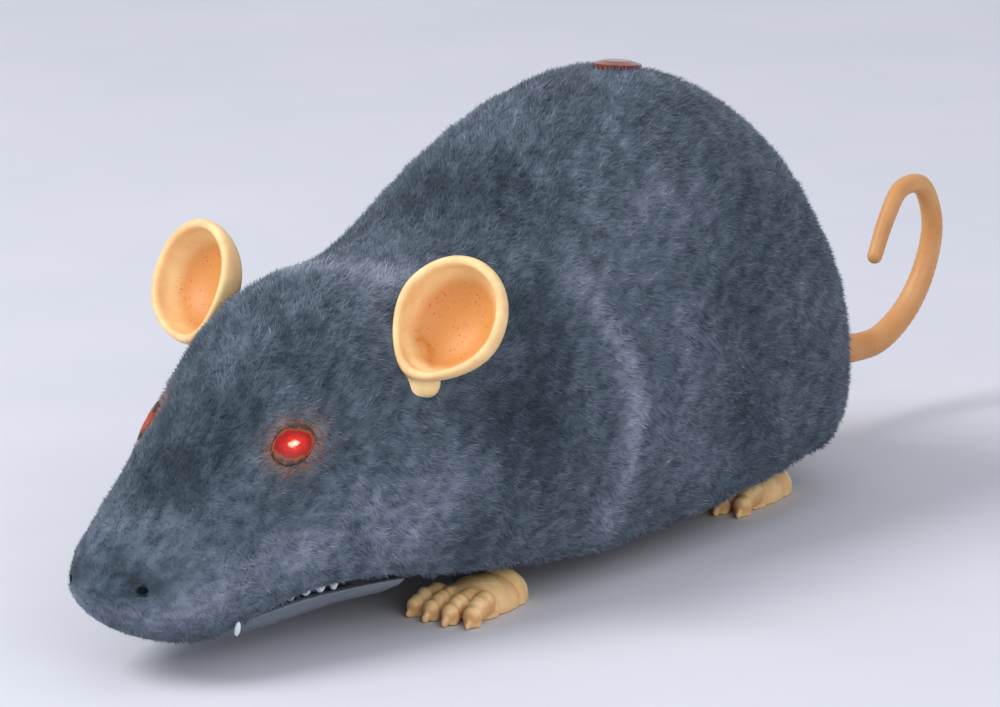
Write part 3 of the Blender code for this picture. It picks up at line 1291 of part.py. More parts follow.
def through(route, count):
    """Evenly spaced points on a smooth curve through a route."""
    route = np.array(route)
    steps = np.concatenate([[0], np.cumsum(np.linalg.norm(np.diff(route, axis=0), axis=1))])
    places = np.linspace(0, steps[-1], count)
    return np.stack([smooth_through(places, steps, route[:, axis]) for axis in range(3)], axis=1)


def make_tail():
    """The tail: a tapered tube that curls up and over, with a plug inside the rump."""
    points = through(tail_route(), TAIL_POINTS)
    radii = np.linspace(1, 0, TAIL_POINTS) * (TAIL_ROOT_RADIUS - TAIL_TIP_RADIUS) + TAIL_TIP_RADIUS
    tail = tube("tail", points.tolist(), radii.tolist(), VINYL)
    start = tail_route()[0]
    plug_y = start[1]
    centre = (0, 0, start[2])
    plug = rod("tail_plug", TAIL_PLUG_RADIUS, plug_y, plug_y + TAIL_PLUG_THICKNESS, "Y", centre, sides=16)
    join(tail, plug)


def board_height():
    """Underside of the main board, let down from the top of the back."""
    return BODY_HEIGHT - BOARD_DROP - BOARD_THICKNESS


def make_board():
    """The main board under the back, its control chip, and the receiver below the window."""
    y = along_to_y(BOARD_CENTRE_SHARE)
    z = board_height()
    low = Vector((-BOARD_WIDTH / 2, y - BOARD_LENGTH / 2, z))
    high = Vector((BOARD_WIDTH / 2, y + BOARD_LENGTH / 2, z + BOARD_THICKNESS))
    board = box("main_board", low, high, BOARD_GREEN)
    chip_low = Vector((-CHIP_SIZE[0] / 2, y - BOARD_LENGTH / 4 - CHIP_SIZE[1] / 2, z + BOARD_THICKNESS / 2))
    chip_size = Vector((CHIP_SIZE[0], CHIP_SIZE[1], BOARD_THICKNESS / 2 + CHIP_SIZE[2]))
    join(board, box("control_chip", chip_low, chip_low + chip_size))
    window_y = along_to_y(WINDOW_ALONG_SHARE)
    half = Vector((RECEIVER_SIZE[0] / 2, RECEIVER_SIZE[1] / 2, 0))
    base = Vector((0, window_y, z + BOARD_THICKNESS + SEAT_GAP))
    top = base + Vector((0, 0, RECEIVER_SIZE[2]))
    box("infrared_receiver", base - half, top + half, CHIP_BLACK, bevel=SWITCH_WALL)


def make_switch():
    y = SWITCH_Y
    half = Vector((SWITCH_SIZE[0] / 2, SWITCH_SIZE[1] / 2, 0))
    base = Vector((0, y, PAN_HIGH_TOP + SEAT_GAP))
    top = base + Vector((0, 0, SWITCH_SIZE[2]))
    body = box("power_switch_body", base - half, top + half, STEEL)
    reach = SWITCH_TRAVEL / 2 + KNOB_NECK / 2 + RUN_GAP
    neck_half = KNOB_NECK / 2 + RUN_GAP
    room_top = PAN_HIGH_TOP + KNOB_NECK_REACH + SEAT_GAP * 2
    cut(body, box("switch_room", (-reach, y - neck_half, 0), (reach, y + neck_half, room_top)))
    off_x = -SWITCH_TRAVEL / 2
    neck = KNOB_NECK / 2
    grip_top = PAN_HIGH - SEAT_GAP
    low = (off_x - KNOB_GRIP_LENGTH / 2, y - KNOB_GRIP_WIDTH / 2, grip_top - KNOB_GRIP_HEIGHT)
    high = (off_x + KNOB_GRIP_LENGTH / 2, y + KNOB_GRIP_WIDTH / 2, grip_top)
    knob = box("power_switch_knob", low, high, WHITE_PLASTIC)
    neck_low = (off_x - neck, y - neck, grip_top - KNOB_GRIP_HEIGHT / 2)
    neck_high = (off_x + neck, y + neck, PAN_HIGH_TOP + KNOB_NECK_REACH)
    join(knob, box("knob_neck", neck_low, neck_high))


def make_leads():
    """Two leads up to the board: one from the motor's front end, one from the front contact plate."""
    board_y = along_to_y(BOARD_CENTRE_SHARE)
    under_board = board_height() - SEAT_GAP * 2
    front = BAY_Y - MOTOR_LENGTH / 2 - SEAT_GAP - LEAD_RADIUS
    side = MOTOR_RADIUS * 0.55
    middle = (DRIVE_Z + under_board) / 2
    motor_route = [
        (side, front, DRIVE_Z),
        (side, front - LEAD_RADIUS, DRIVE_Z + MOTOR_HEIGHT / 2),
        (side, front, middle),
        (side * 1.2, (front + board_y) / 2, under_board - LEAD_RADIUS * 6),
        (side * 1.2, board_y - BOARD_LENGTH / 4, under_board - LEAD_RADIUS * 3),
        (side * 1.2, board_y - BOARD_LENGTH / 4, under_board),
    ]
    tube("motor_lead", through(motor_route, LEAD_POINTS).tolist(), [LEAD_RADIUS] * LEAD_POINTS, LEAD_RED)
    wall_x = BOX_HALF_X - BOX_WALL - LEAD_RADIUS
    roof = BOX_TOP_Z + SEAT_GAP
    battery_route = [
        (-wall_x, BAY_Y, roof),
        (-wall_x, BAY_Y, roof + LEAD_RADIUS * 5),
        (-wall_x, BAY_Y + LEAD_RADIUS * 3, middle),
        (-wall_x * 0.7, (BAY_Y + board_y) / 2, under_board - LEAD_RADIUS * 8),
        (-side * 1.2, board_y, under_board - LEAD_RADIUS * 3),
        (-side * 1.2, board_y, under_board),
    ]
    tube("battery_lead", through(battery_route, LEAD_POINTS).tolist(), [LEAD_RADIUS] * LEAD_POINTS, LEAD_RED)


def build():
    make_shell()
    make_pan()
    make_door()
    make_battery_box()
    make_cells()
    make_motor()
    make_drive()
    for leg in leg_places():
        make_leg(*leg)
    for side, sign in FACING.items():
        make_ear(side, sign)
        make_eye(side, sign)
    make_window()
    make_jaw()
    make_teeth()
    make_tail()
    make_board()
    make_switch()
    make_leads()
    for name, centre in case_screw_places():
        screw(name, centre, PAN_HIGH - SEAT_GAP)


build()
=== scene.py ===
import json
import math

import bmesh
import bpy
import numpy as np
from mathutils import Matrix, Vector


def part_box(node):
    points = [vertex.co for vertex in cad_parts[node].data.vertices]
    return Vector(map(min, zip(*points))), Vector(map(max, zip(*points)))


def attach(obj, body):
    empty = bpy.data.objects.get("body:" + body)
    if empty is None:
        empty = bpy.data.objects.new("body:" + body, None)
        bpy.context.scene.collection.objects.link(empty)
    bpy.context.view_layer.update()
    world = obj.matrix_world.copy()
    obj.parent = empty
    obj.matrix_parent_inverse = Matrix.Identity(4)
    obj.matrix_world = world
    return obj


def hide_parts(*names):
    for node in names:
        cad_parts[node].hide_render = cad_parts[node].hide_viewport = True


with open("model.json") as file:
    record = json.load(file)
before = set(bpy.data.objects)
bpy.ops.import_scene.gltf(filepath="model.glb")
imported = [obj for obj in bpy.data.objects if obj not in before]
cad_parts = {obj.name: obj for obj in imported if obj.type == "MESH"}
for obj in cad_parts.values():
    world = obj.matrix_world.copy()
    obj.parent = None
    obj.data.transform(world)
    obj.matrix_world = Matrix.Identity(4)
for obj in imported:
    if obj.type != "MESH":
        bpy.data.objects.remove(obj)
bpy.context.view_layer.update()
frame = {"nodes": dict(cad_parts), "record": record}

facing = {"left": 1, "right": -1}
mm = 0.001


# Small helpers

def linearColour(hexText):
    values = [int(hexText[i:i + 2], 16) / 255 for i in (1, 3, 5)]
    return [v / 12.92 if v <= 0.04045 else ((v + 0.055) / 1.055) ** 2.4 for v in values] + [1.0]


def perMetre(sizeMm):  # a texture scale that repeats at this size
    return 1000 / sizeMm


def addNode(tree, kind, settings=None, links=None):
    node = tree.nodes.new(kind)
    for key, value in (settings or {}).items():
        if isinstance(key, int) or key in node.inputs:
            node.inputs[key].default_value = value
        else:
            setattr(node, key, value)
    for socket, source in (links or {}).items():
        tree.links.new(source, node.inputs[socket])
    return node


def smoothThrough(places, knots, values):  # one smooth curve through the knots
    knots, values, places = np.asarray(knots), np.asarray(values), np.asarray(places)
    slopes = np.gradient(values, knots)
    before = np.clip(np.searchsorted(knots, places) - 1, 0, len(knots) - 2)
    span = knots[before + 1] - knots[before]
    t = (places - knots[before]) / span
    return ((2 * t**3 - 3 * t**2 + 1) * values[before] + (t**3 - 2 * t**2 + t) * span * slopes[before]
            + (3 * t**2 - 2 * t**3) * values[before + 1] + (t**3 - t**2) * span * slopes[before + 1])


def smoothStep(value, low, high):
    t = np.clip((value - low) / (high - low), 0, 1)
    return t * t * (3 - 2 * t)


def unit(vectors):
    return vectors / np.maximum(np.linalg.norm(vectors, axis=-1, keepdims=True), 1e-12)


def patches(points, sizeMm, seed, waves=7):  # soft blotches about this size, from -1 to 1
    random = np.random.default_rng(seed)
    total = np.zeros(len(points))
    for direction in unit(random.normal(size=(waves, 3))):
        turn = 2 * math.pi * (points @ direction) / (sizeMm * mm) * random.uniform(0.6, 1.5)
        total += np.sin(turn + random.uniform(0, 2 * math.pi))
    return np.clip(total / math.sqrt(waves) / 1.3, -1, 1)


def linked(name, data):  # a new object in the scene
    obj = bpy.data.objects.new(name, data)
    bpy.context.scene.collection.objects.link(obj)
    return obj


def reshaped(obj, change):  # one change made to the mesh's own corners and faces
    shape = bmesh.new()
    shape.from_mesh(obj.data)
    change(shape)
    shape.to_mesh(obj.data)
    shape.free()
    return obj


def smoothShaded(obj):
    obj.data.polygons.foreach_set("use_smooth", np.ones(len(obj.data.polygons), bool))
    return obj


def newPiece(name, points, faces, material):
    points, faces = np.asarray(points, float), np.asarray(faces, int)
    mesh = bpy.data.meshes.new(name)
    mesh.vertices.add(len(points))
    mesh.vertices.foreach_set("co", points.ravel())
    corners = faces.shape[1]
    mesh.loops.add(faces.size)
    mesh.loops.foreach_set("vertex_index", faces.ravel())
    mesh.polygons.add(len(faces))
    mesh.polygons.foreach_set("loop_start", np.arange(len(faces)) * corners)
    mesh.update(calc_edges=True)
    mesh.validate()
    mesh.materials.append(material)
    return linked(name, mesh)


def cleaned(obj, distance=1e-6):  # merges doubled corners, closes folds and turns the faces outward
    def mend(shape):
        bmesh.ops.remove_doubles(shape, verts=shape.verts, dist=distance)
        bmesh.ops.dissolve_degenerate(shape, edges=shape.edges, dist=distance)
        bmesh.ops.recalc_face_normals(shape, faces=shape.faces)
    return reshaped(obj, mend)


def settled(obj):  # the modifiers' result becomes the mesh
    made = bpy.data.meshes.new_from_object(obj.evaluated_get(bpy.context.evaluated_depsgraph_get()))
    obj.modifiers.clear()
    obj.data = made
    return smoothShaded(obj)


def fused(obj, voxel):  # lumps and cup grown into one body
    remesh = obj.modifiers.new("one_body", "REMESH")
    remesh.mode = "VOXEL"
    remesh.voxel_size = voxel
    return settled(obj)


def softened(obj, rounds):
    soften = obj.modifiers.new("soften", "SMOOTH")
    soften.iterations = rounds
    soften.factor = 0.5
    return settled(obj)


def pointsOf(obj):
    found = np.empty(len(obj.data.vertices) * 3)
    obj.data.vertices.foreach_get("co", found)
    return found.reshape(-1, 3)


def normalsOf(obj):
    found = np.empty(len(obj.data.vertices) * 3, np.float32)
    obj.data.vertices.foreach_get("normal", found)
    return found.reshape(-1, 3).astype(float)


def setValues(obj, name, values):  # one number for each corner, for the material
    attribute = obj.data.attributes.new(name, "FLOAT", "POINT")
    attribute.data.foreach_set("value", np.clip(values, 0, 1).astype(np.float32))


def place(obj, body, slot, *nodes):  # carried by a body, in place of these solids
    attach(obj, body)
    if nodes:
        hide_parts(*nodes)
    return obj


def gridFaces(rows, columns, closed=False):
    faces = []
    for row in range(rows - 1):
        for column in range(columns if closed else columns - 1):
            after = (column + 1) % columns
            faces.append((row * columns + column, row * columns + after,
                          (row + 1) * columns + after, (row + 1) * columns + column))
    return faces


def addLump(shape, middle, size, turnDeg=0.0, tipDeg=0.0, roll=0.0):
    matrix = (Matrix.Translation(middle) @ Matrix.Rotation(math.radians(turnDeg), 4, "Z")
              @ Matrix.Rotation(math.radians(tipDeg), 4, "X") @ Matrix.Rotation(math.radians(roll), 4, "Y")
              @ Matrix.Diagonal((*size, 1)))
    bmesh.ops.create_uvsphere(shape, u_segments=28, v_segments=18, radius=0.5, matrix=matrix)


# The body's form, the same stations and lower edge as the solid has

bodyForm = {
    "length": 0.207,
    "halfWidth": 0.0394,
    "height": 0.089,
    "nose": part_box("body_shell")[0].y,
    "widest": 0.42,
    "roundAbove": 2.25,
    # place, half width, top and bottom as shares, and how square the lower half is
    "stations": [
        (0.000, 0.127, 0.243, 0.191, 2.1), (0.008, 0.218, 0.277, 0.156, 2.1),
        (0.024, 0.300, 0.315, 0.118, 2.1), (0.063, 0.390, 0.376, 0.071, 2.1),
        (0.121, 0.482, 0.470, 0.033, 2.2), (0.198, 0.610, 0.597, 0.040, 2.6),
        (0.275, 0.746, 0.706, 0.057, 3.3), (0.343, 0.843, 0.745, 0.053, 4.6),
        (0.401, 0.886, 0.743, 0.044, 5.4), (0.459, 0.914, 0.763, 0.033, 6.0),
        (0.527, 0.949, 0.820, 0.023, 6.2), (0.614, 0.985, 0.921, 0.019, 6.2),
        (0.720, 1.000, 1.000, 0.019, 6.0), (0.826, 0.990, 0.995, 0.029, 5.4),
        (0.913, 0.934, 0.834, 0.051, 4.4), (0.966, 0.774, 0.616, 0.101, 3.4),
        (0.988, 0.584, 0.483, 0.146, 2.6), (1.000, 0.305, 0.343, 0.202, 2.3),
    ],
    "edge": [
        (0.060, 0.003), (0.082, 0.055), (0.094, 0.076), (0.110, 0.100), (0.140, 0.129), (0.174, 0.150),
        (0.217, 0.155), (0.261, 0.147), (0.319, 0.125), (0.382, 0.109), (0.454, 0.091), (0.498, 0.080),
        (0.565, 0.080), (0.710, 0.095), (0.797, 0.112), (0.865, 0.129), (0.947, 0.146), (1.040, 0.163),
    ],
}
stations = np.array(bodyForm["stations"])
edgeKnots = np.array(bodyForm["edge"])


def alongToY(share):
    return bodyForm["nose"] + bodyForm["length"] * share


def yToAlong(y):
    return (y - bodyForm["nose"]) / bodyForm["length"]


def sectionAt(share):  # half width, top, bottom, squareness below
    found = [float(smoothThrough(share, stations[:, 0], stations[:, column])) for column in (1, 2, 3, 4)]
    width, top, bottom, square = found
    return bodyForm["halfWidth"] * width, bodyForm["height"] * top, bodyForm["height"] * bottom, square


def edgeHeight(share):
    return bodyForm["height"] * smoothThrough(share, edgeKnots[:, 0], edgeKnots[:, 1])


def halfSection(share, inset):  # (x, z) from the middle of the belly up the left side to the back
    width, top, bottom, square = sectionAt(share)
    middle = bottom + bodyForm["widest"] * (top - bottom)
    turns = np.radians(np.linspace(-90, 90, 361))
    power = np.where(turns < 0, square, bodyForm["roundAbove"])
    reach = (np.abs(np.cos(turns))**power + np.abs(np.sin(turns))**power)**(-1 / power)
    rise = np.where(turns < 0, middle - bottom - inset, top - middle - inset)
    x = (width - inset) * np.cos(turns) * reach
    x[[0, -1]] = 0
    return np.stack([x, middle + rise * np.sin(turns) * reach], axis=1)


def evenly(line, count):  # evenly spaced points along a line
    steps = np.concatenate([[0], np.cumsum(np.linalg.norm(np.diff(line, axis=0), axis=1))])
    spots = np.linspace(0, steps[-1], count)
    return np.stack([np.interp(spots, steps, line[:, k]) for k in range(line.shape[1])], axis=1)


def trimmed(line, height):  # the part of a rising line above a height
    z = line[:, 1]
    if height <= z[0] or height >= z[-1]:
        return line
    crossing = np.array([np.interp(height, z, line[:, 0]), height])
    return np.vstack([crossing, line[z > height]])


def formPoint(share, turnDeg):  # on the form's left side
    width, top, bottom, square = sectionAt(share)
    middle = bottom + bodyForm["widest"] * (top - bottom)
    turn = math.radians(turnDeg)
    power = 2 / (bodyForm["roundAbove"] if math.sin(turn) > 0 else square)
    rise = top - middle if math.sin(turn) > 0 else middle - bottom
    x = width * math.copysign(abs(math.cos(turn))**power, math.cos(turn))
    z = middle + rise * math.copysign(abs(math.sin(turn))**power, math.sin(turn))
    return Vector((x, alongToY(share), z))


def formFrame(share, turnDeg, side=1):  # on the form: X along the body, Z out of it
    shareStep, turnStep = 0.004, 1.5
    lengthwise = formPoint(share + shareStep, turnDeg) - formPoint(share - shareStep, turnDeg)
    crosswise = formPoint(share, turnDeg + turnStep) - formPoint(share, turnDeg - turnStep)
    outward = lengthwise.cross(crosswise).normalized()
    if outward.dot(Vector((math.cos(math.radians(turnDeg)), 0, math.sin(math.radians(turnDeg))))) < 0:
        outward = -outward
    across = lengthwise.normalized()
    axes = Matrix((across, outward.cross(across), outward)).transposed().to_4x4()
    origin = formPoint(share, turnDeg)
    if side < 0:
        axes = Matrix.Diagonal((-1, 1, 1, 1)) @ axes @ Matrix.Diagonal((1, -1, 1, 1))
        origin.x = -origin.x
    return Matrix.Translation(origin) @ axes


headPlaces = {
    "eye": (0.178, 40.0), "eyeSize": (0.0095, 0.0066), "ear": (0.311, 35.0), "nostril": (0.010, 10.0),
    "window": (0.795, 90.0), "windowRadius": 0.0050, "tailHeight": 0.0235, "tailRadius": 0.0040,
}
eyeFrames = {side: formFrame(*headPlaces["eye"], sign) for side, sign in facing.items()}
nostrilFrames = {side: formFrame(*headPlaces["nostril"], sign) for side, sign in facing.items()}
windowFrame = formFrame(*headPlaces["window"])


def inFrame(points, matrix):  # points as a frame sees them
    return points @ np.array(matrix.inverted().to_3x3()).T + np.array(matrix.inverted().translation)


def inBarrel(points, matrix, halfLong, halfHigh, halfDeep):  # which points lie in an oval barrel on a frame
    local = inFrame(points, matrix)
    oval = np.hypot(local[:, 0] / halfLong, local[:, 1] / halfHigh) < 1
    return oval & (np.abs(local[:, 2]) < halfDeep)


# Ear settings and place, which the pile also keeps clear of

ear = {
    "height": 26.0 * mm,
    "width": 23.0 * mm,
    "depth": 8.5 * mm,
    "wall": 2.1 * mm,
    # the foot below the cup, wide where it meets the cup: middle and size in millimetres, on the left side
    "foot": [
        ((-3.6, 2.4, 0.4), (9.0, 5.0, 8.0)), ((-1.0, 1.8, -1.8), (12.6, 7.0, 8.0)),
        ((-0.2, 1.5, -5.6), (8.4, 6.6, 10.0)),
    ],
    "rise": 0.40,  # how far the cup's middle stands over its root, as a share of the height
    "forward": 0.3,  # how far the rim stands before the root, as a share of the depth
    "leanDeg": 28.0,
    "backDeg": 28.0,
    "footShare": 0.70,  # width at the foot
    "fullShare": 0.60,  # height at which the ear is at its widest
    # no fibre roots here: half width, half height and half depth, then the middle's height and place in front
    "clearCup": {"oversize": 1.02, "halfDeep": 5.2 * mm, "behind": 1.6 * mm},
    "clearFoot": {"half": (4.2 * mm, 5.5 * mm), "halfDeep": 4.0 * mm, "behind": 1.4 * mm, "below": 15.0 * mm},
    "rings": 26,
    "around": 72,
    "innerDeep": 0.92,  # the inside of the cup against its outside
    "rimRings": 7,
    "rimRoll": 0.55,  # how far the rim bulges, as a share of the wall
    "weld": 1e-5,
    "voxel": 0.34 * mm,
    "rounds": 16,
    # where the orange begins, from the rim inward and from the front back, and how strong it is; deeper in
    # the cup it grows stronger and the fold at its bottom darker, both painted shade
    "tint": {"fromRim": (0.02, 0.26), "fromFront": (-0.4 * mm, 2.2 * mm), "facing": 0.25, "rim": 0.06,
             "bowl": 0.55, "bottom": 0.39, "bottomDeep": 5.5 * mm, "darkAndShade": 0.25, "foldFrom": (0.2, 0.9)},
}


def earFrame(sign):
    root = formFrame(*headPlaces["ear"], sign).translation
    lean = Matrix.Rotation(sign * math.radians(ear["leanDeg"]), 4, "Y")
    return Matrix.Translation(root) @ lean @ Matrix.Rotation(-math.radians(ear["backDeg"]), 4, "X")


# Materials

def startMaterial(name, settings, diffuse="#808080"):
    made = bpy.data.materials.new(name)
    made.use_nodes = True
    made.diffuse_color = linearColour(diffuse)
    tree = made.node_tree
    tree.nodes.clear()
    shader = addNode(tree, "ShaderNodeBsdfPrincipled", settings)
    addNode(tree, "ShaderNodeOutputMaterial", links={"Surface": shader.outputs[0]})
    return made, tree, shader


def addBump(tree, shader, height, strength, depthMm):
    settings = {"Strength": strength, "Distance": depthMm * mm}
    bump = addNode(tree, "ShaderNodeBump", settings, {"Height": height})
    tree.links.new(bump.outputs[0], shader.inputs["Normal"])


def addRamp(tree, value, stops):
    ramp = addNode(tree, "ShaderNodeValToRGB", links={"Fac": value})
    elements = ramp.color_ramp.elements
    while len(elements) < len(stops):
        elements.new(0.5)
    for element, (position, colour) in zip(elements, stops):
        element.position = position
        element.color = linearColour(colour) if isinstance(colour, str) else (colour, colour, colour, 1)
    return ramp


def mixColour(tree, kind, share, first, second):
    mix = addNode(tree, "ShaderNodeMix", {"data_type": "RGBA", "blend_type": kind})
    for socket, value in ((mix.inputs[0], share), (mix.inputs[6], first), (mix.inputs[7], second)):
        if isinstance(value, bpy.types.NodeSocket):
            tree.links.new(value, socket)
        else:
            socket.default_value = value
    return mix.outputs[2]


def objectPlace(tree):
    return addNode(tree, "ShaderNodeTexCoord").outputs["Object"]


def noiseAt(tree, sizeMm, detail=3.0, rough=0.55):
    settings = {"Scale": perMetre(sizeMm), "Detail": detail, "Roughness": rough}
    return addNode(tree, "ShaderNodeTexNoise", settings, {"Vector": objectPlace(tree)}).outputs["Fac"]


def valueOf(tree, name):
    return addNode(tree, "ShaderNodeAttribute", {"attribute_name": name}).outputs["Fac"]


def flockedPile():
    # nylon flock, blown on upright and brushed: dull, with a soft light edge where the tips catch the light
    made, tree, shader = startMaterial("nylonFlock", {
        "Roughness": 0.85, "Sheen Weight": 0.35, "Sheen Roughness": 0.45, "Specular IOR Level": 0.12,
    }, "#56616e")
    shader.inputs["Sheen Tint"].default_value = linearColour("#b4bccd")
    tone = addRamp(tree, valueOf(tree, "pileTone"), [
        (0.0, "#34414c"), (0.25, "#4f5d6a"), (0.5, "#707d8c"), (0.75, "#979fb3"), (1.0, "#c0c5d6"),
    ]).outputs[0]
    # painted shade deep in the pile: the colour darkens towards the fibre roots
    depth = addRamp(tree, valueOf(tree, "pileTip"), [
        (0.0, "#a2a2a2"), (0.6, "#ececec"), (1.0, "#ffffff"),
    ]).outputs[0]
    shaded = mixColour(tree, "MULTIPLY", 1.0, tone, depth)
    lit = mixColour(tree, "MIX", valueOf(tree, "eyeLight"), shaded, linearColour("#d07c36"))
    tree.links.new(lit, shader.inputs["Base Color"])
    return made


def softVinyl():
    # rotocast soft vinyl with a sprayed tint: satin, a little light goes into it; painted shade in folds,
    # grooves and near the body deepens the tint and darkens it
    made, tree, shader = startMaterial("sprayedVinyl", {
        "Roughness": 0.48, "Subsurface Weight": 0.12, "Subsurface Scale": 0.0015, "IOR": 1.48,
    }, "#e8b878")
    shader.inputs["Subsurface Radius"].default_value = (1.0, 0.45, 0.25)
    sprayWithShade = valueOf(tree, "sprayAndShade")
    blotch = addRamp(tree, noiseAt(tree, 5.0), [(0.35, "#ecc088"), (0.65, "#f6d79c")]).outputs[0]
    # sprayed tint, with painted shade added in hollows, grooves and near the body
    cast = mixColour(tree, "MIX", sprayWithShade, blotch, linearColour("#d8934c"))
    # painted shade multiplied in, together with the tail's own browner tone
    darkenedWithShade = mixColour(tree, "MULTIPLY", valueOf(tree, "darkTintAndShade"), cast, linearColour("#b0714a"))
    speck = addNode(tree, "ShaderNodeTexVoronoi", {"Scale": perMetre(0.9)}, {"Vector": objectPlace(tree)})
    dot = addRamp(tree, speck.outputs["Distance"], [(0.12, 1.0), (0.24, 0.0)]).outputs[0]
    rare = addRamp(tree, noiseAt(tree, 3.2), [(0.38, 0.0), (0.56, 1.0)]).outputs[0]
    both = mixColour(tree, "MULTIPLY", 1.0, dot, rare)
    often = mixColour(tree, "MULTIPLY", 1.0, both, valueOf(tree, "freckle"))
    tree.links.new(mixColour(tree, "MIX", often, darkenedWithShade, linearColour("#b4502c")), shader.inputs["Base Color"])
    addBump(tree, shader, noiseAt(tree, 0.8, 8.5), 0.25, 0.12)
    return made


def mouldedPlastic(name, colour, darker, roughness, grainMm, bumpMm, extra=None):
    # injection-moulded, with the fine spark texture of the mould and slight flow marks
    settings = {"Roughness": roughness, "IOR": 1.50, **(extra or {})}
    made, tree, shader = startMaterial(name, settings, colour)
    flow = addRamp(tree, noiseAt(tree, 14.0), [(0.3, darker), (0.7, colour)]).outputs[0]
    tree.links.new(flow, shader.inputs["Base Color"])
    addBump(tree, shader, noiseAt(tree, grainMm, 5.0), 0.3, bumpMm)
    return made


def platedMetal(name, colour, brighter, roughness, strokeMm):
    # drawn and plated metal, with fine lines along it
    made, tree, shader = startMaterial(name, {"Metallic": 1.0}, colour)
    stretched = addNode(tree, "ShaderNodeMapping", {"Scale": (1, 0.06, 1)}, {"Vector": objectPlace(tree)})
    lines = addNode(tree, "ShaderNodeTexNoise", {"Scale": perMetre(strokeMm), "Detail": 4.0},
                    {"Vector": stretched.outputs[0]}).outputs["Fac"]
    tint = addRamp(tree, lines, [(0.3, colour), (0.7, brighter)]).outputs[0]
    tree.links.new(tint, shader.inputs["Base Color"])
    dull = addRamp(tree, lines, [(0.2, roughness - 0.08), (0.8, roughness + 0.08)]).outputs[0]
    tree.links.new(dull, shader.inputs["Roughness"])
    return made


def redLens():
    # clear red acrylic, polished: deep where it is thick, bright where light comes through
    made, tree, shader = startMaterial("redAcrylic", {
        "Roughness": 0.12, "IOR": 1.49, "Transmission Weight": 0.35, "Coat Weight": 0.3,
    }, "#8e2a1c")
    tint = addRamp(tree, noiseAt(tree, 4.0), [(0.35, "#7a2416"), (0.7, "#a8402a")]).outputs[0]
    tree.links.new(tint, shader.inputs["Base Color"])
    return made


def litEye():
    # red acrylic lens over a lit diode: a white-hot middle, then red, orange at its edge, and a dark rim
    # painted as the shade in the gap round the lens
    made, tree, shader = startMaterial("litRedLens", {
        "Roughness": 0.38, "IOR": 1.49, "Specular IOR Level": 0.3,
    }, "#e02010")
    radius = valueOf(tree, "lensRadius")
    grain = noiseAt(tree, 1.3, 4.0)
    uneven = addNode(tree, "ShaderNodeMath", {"operation": "MULTIPLY_ADD", 1: 0.56, 2: -0.28}, {0: grain})
    parts = {0: radius, 1: uneven.outputs[0]}
    rough = addNode(tree, "ShaderNodeMath", {"operation": "ADD"}, parts).outputs[0]
    # the last stop is the dark rim, painted shade of the gap round the lens
    glow = addRamp(tree, rough, [
        (0.0, "#fff2de"), (0.15, "#ffdcc0"), (0.25, "#e42e1e"), (0.50, "#c8120f"),
        (0.76, "#a6160f"), (0.86, "#c0602a"), (0.96, "#5c4c48"),
    ]).outputs[0]
    unlit = mixColour(tree, "MULTIPLY", 1.0, glow, (0.35, 0.35, 0.35, 1))
    tree.links.new(unlit, shader.inputs["Base Color"])
    tree.links.new(glow, shader.inputs["Emission Color"])
    strength = addRamp(tree, rough, [(0.0, 1.0), (0.28, 0.62), (0.80, 0.36), (0.97, 0.14)]).outputs[0]
    tree.links.new(strength, shader.inputs["Emission Strength"])
    addBump(tree, shader, grain, 0.5, 0.12)
    return made


def ledResin():
    # cast epoxy lens of a diode, lit
    made, tree, shader = startMaterial("epoxyDiode", {
        "Roughness": 0.08, "IOR": 1.53, "Transmission Weight": 0.4, "Emission Strength": 0.6,
    })
    tint = addRamp(tree, noiseAt(tree, 2.0), [(0.3, "#d8301c"), (0.7, "#f05038")]).outputs[0]
    tree.links.new(tint, shader.inputs["Base Color"])
    tree.links.new(tint, shader.inputs["Emission Color"])
    return made


def circuitBoard():
    # fibreglass board under solder mask: copper tracks show as a lighter green, pads as tin
    made, tree, shader = startMaterial("solderMask", {
        "Roughness": 0.38, "IOR": 1.55, "Coat Weight": 0.2,
    }, "#1f5a34")
    brick = addNode(tree, "ShaderNodeTexBrick", {
        "Scale": perMetre(9.0), "Mortar Size": 0.06, "Color1": linearColour("#174a2a"),
        "Color2": linearColour("#1b5530"), "Mortar": linearColour("#2f7a46"),
    }, {"Vector": objectPlace(tree)})
    pads = addNode(tree, "ShaderNodeTexVoronoi", {"Scale": perMetre(3.0)}, {"Vector": objectPlace(tree)})
    tin = addRamp(tree, pads.outputs["Distance"], [(0.10, 1.0), (0.14, 0.0)]).outputs[0]
    tinned = mixColour(tree, "MIX", tin, brick.outputs[0], linearColour("#b9bcb4"))
    tree.links.new(tinned, shader.inputs["Base Color"])
    addBump(tree, shader, brick.outputs["Fac"], 0.4, 0.05)
    return made


def cellWrap():
    # printed shrink film over a steel can, bare at both ends
    halfLength = 26.0 * mm
    made, tree, shader = startMaterial("cellFilm", {"Roughness": 0.3, "Metallic": 0.6}, "#c8a13a")
    spot = addNode(tree, "ShaderNodeSeparateXYZ", links={0: objectPlace(tree)})
    across = addNode(tree, "ShaderNodeMath", {"operation": "ABSOLUTE"}, {0: spot.outputs["X"]})
    toShare = {"operation": "MULTIPLY", 1: 1 / halfLength}
    scaled = addNode(tree, "ShaderNodeMath", toShare, {0: across.outputs[0]})
    film = addRamp(tree, scaled.outputs[0], [
        (0.0, "#caa23c"), (0.72, "#c79b32"), (0.73, "#5c5148"), (0.93, "#4c433c"), (0.94, "#b9babd"),
    ]).outputs[0]
    worn = addRamp(tree, noiseAt(tree, 3.0), [(0.3, "#d8d8d8"), (0.7, "#ffffff")]).outputs[0]
    tree.links.new(mixColour(tree, "MULTIPLY", 0.5, film, worn), shader.inputs["Base Color"])
    return made


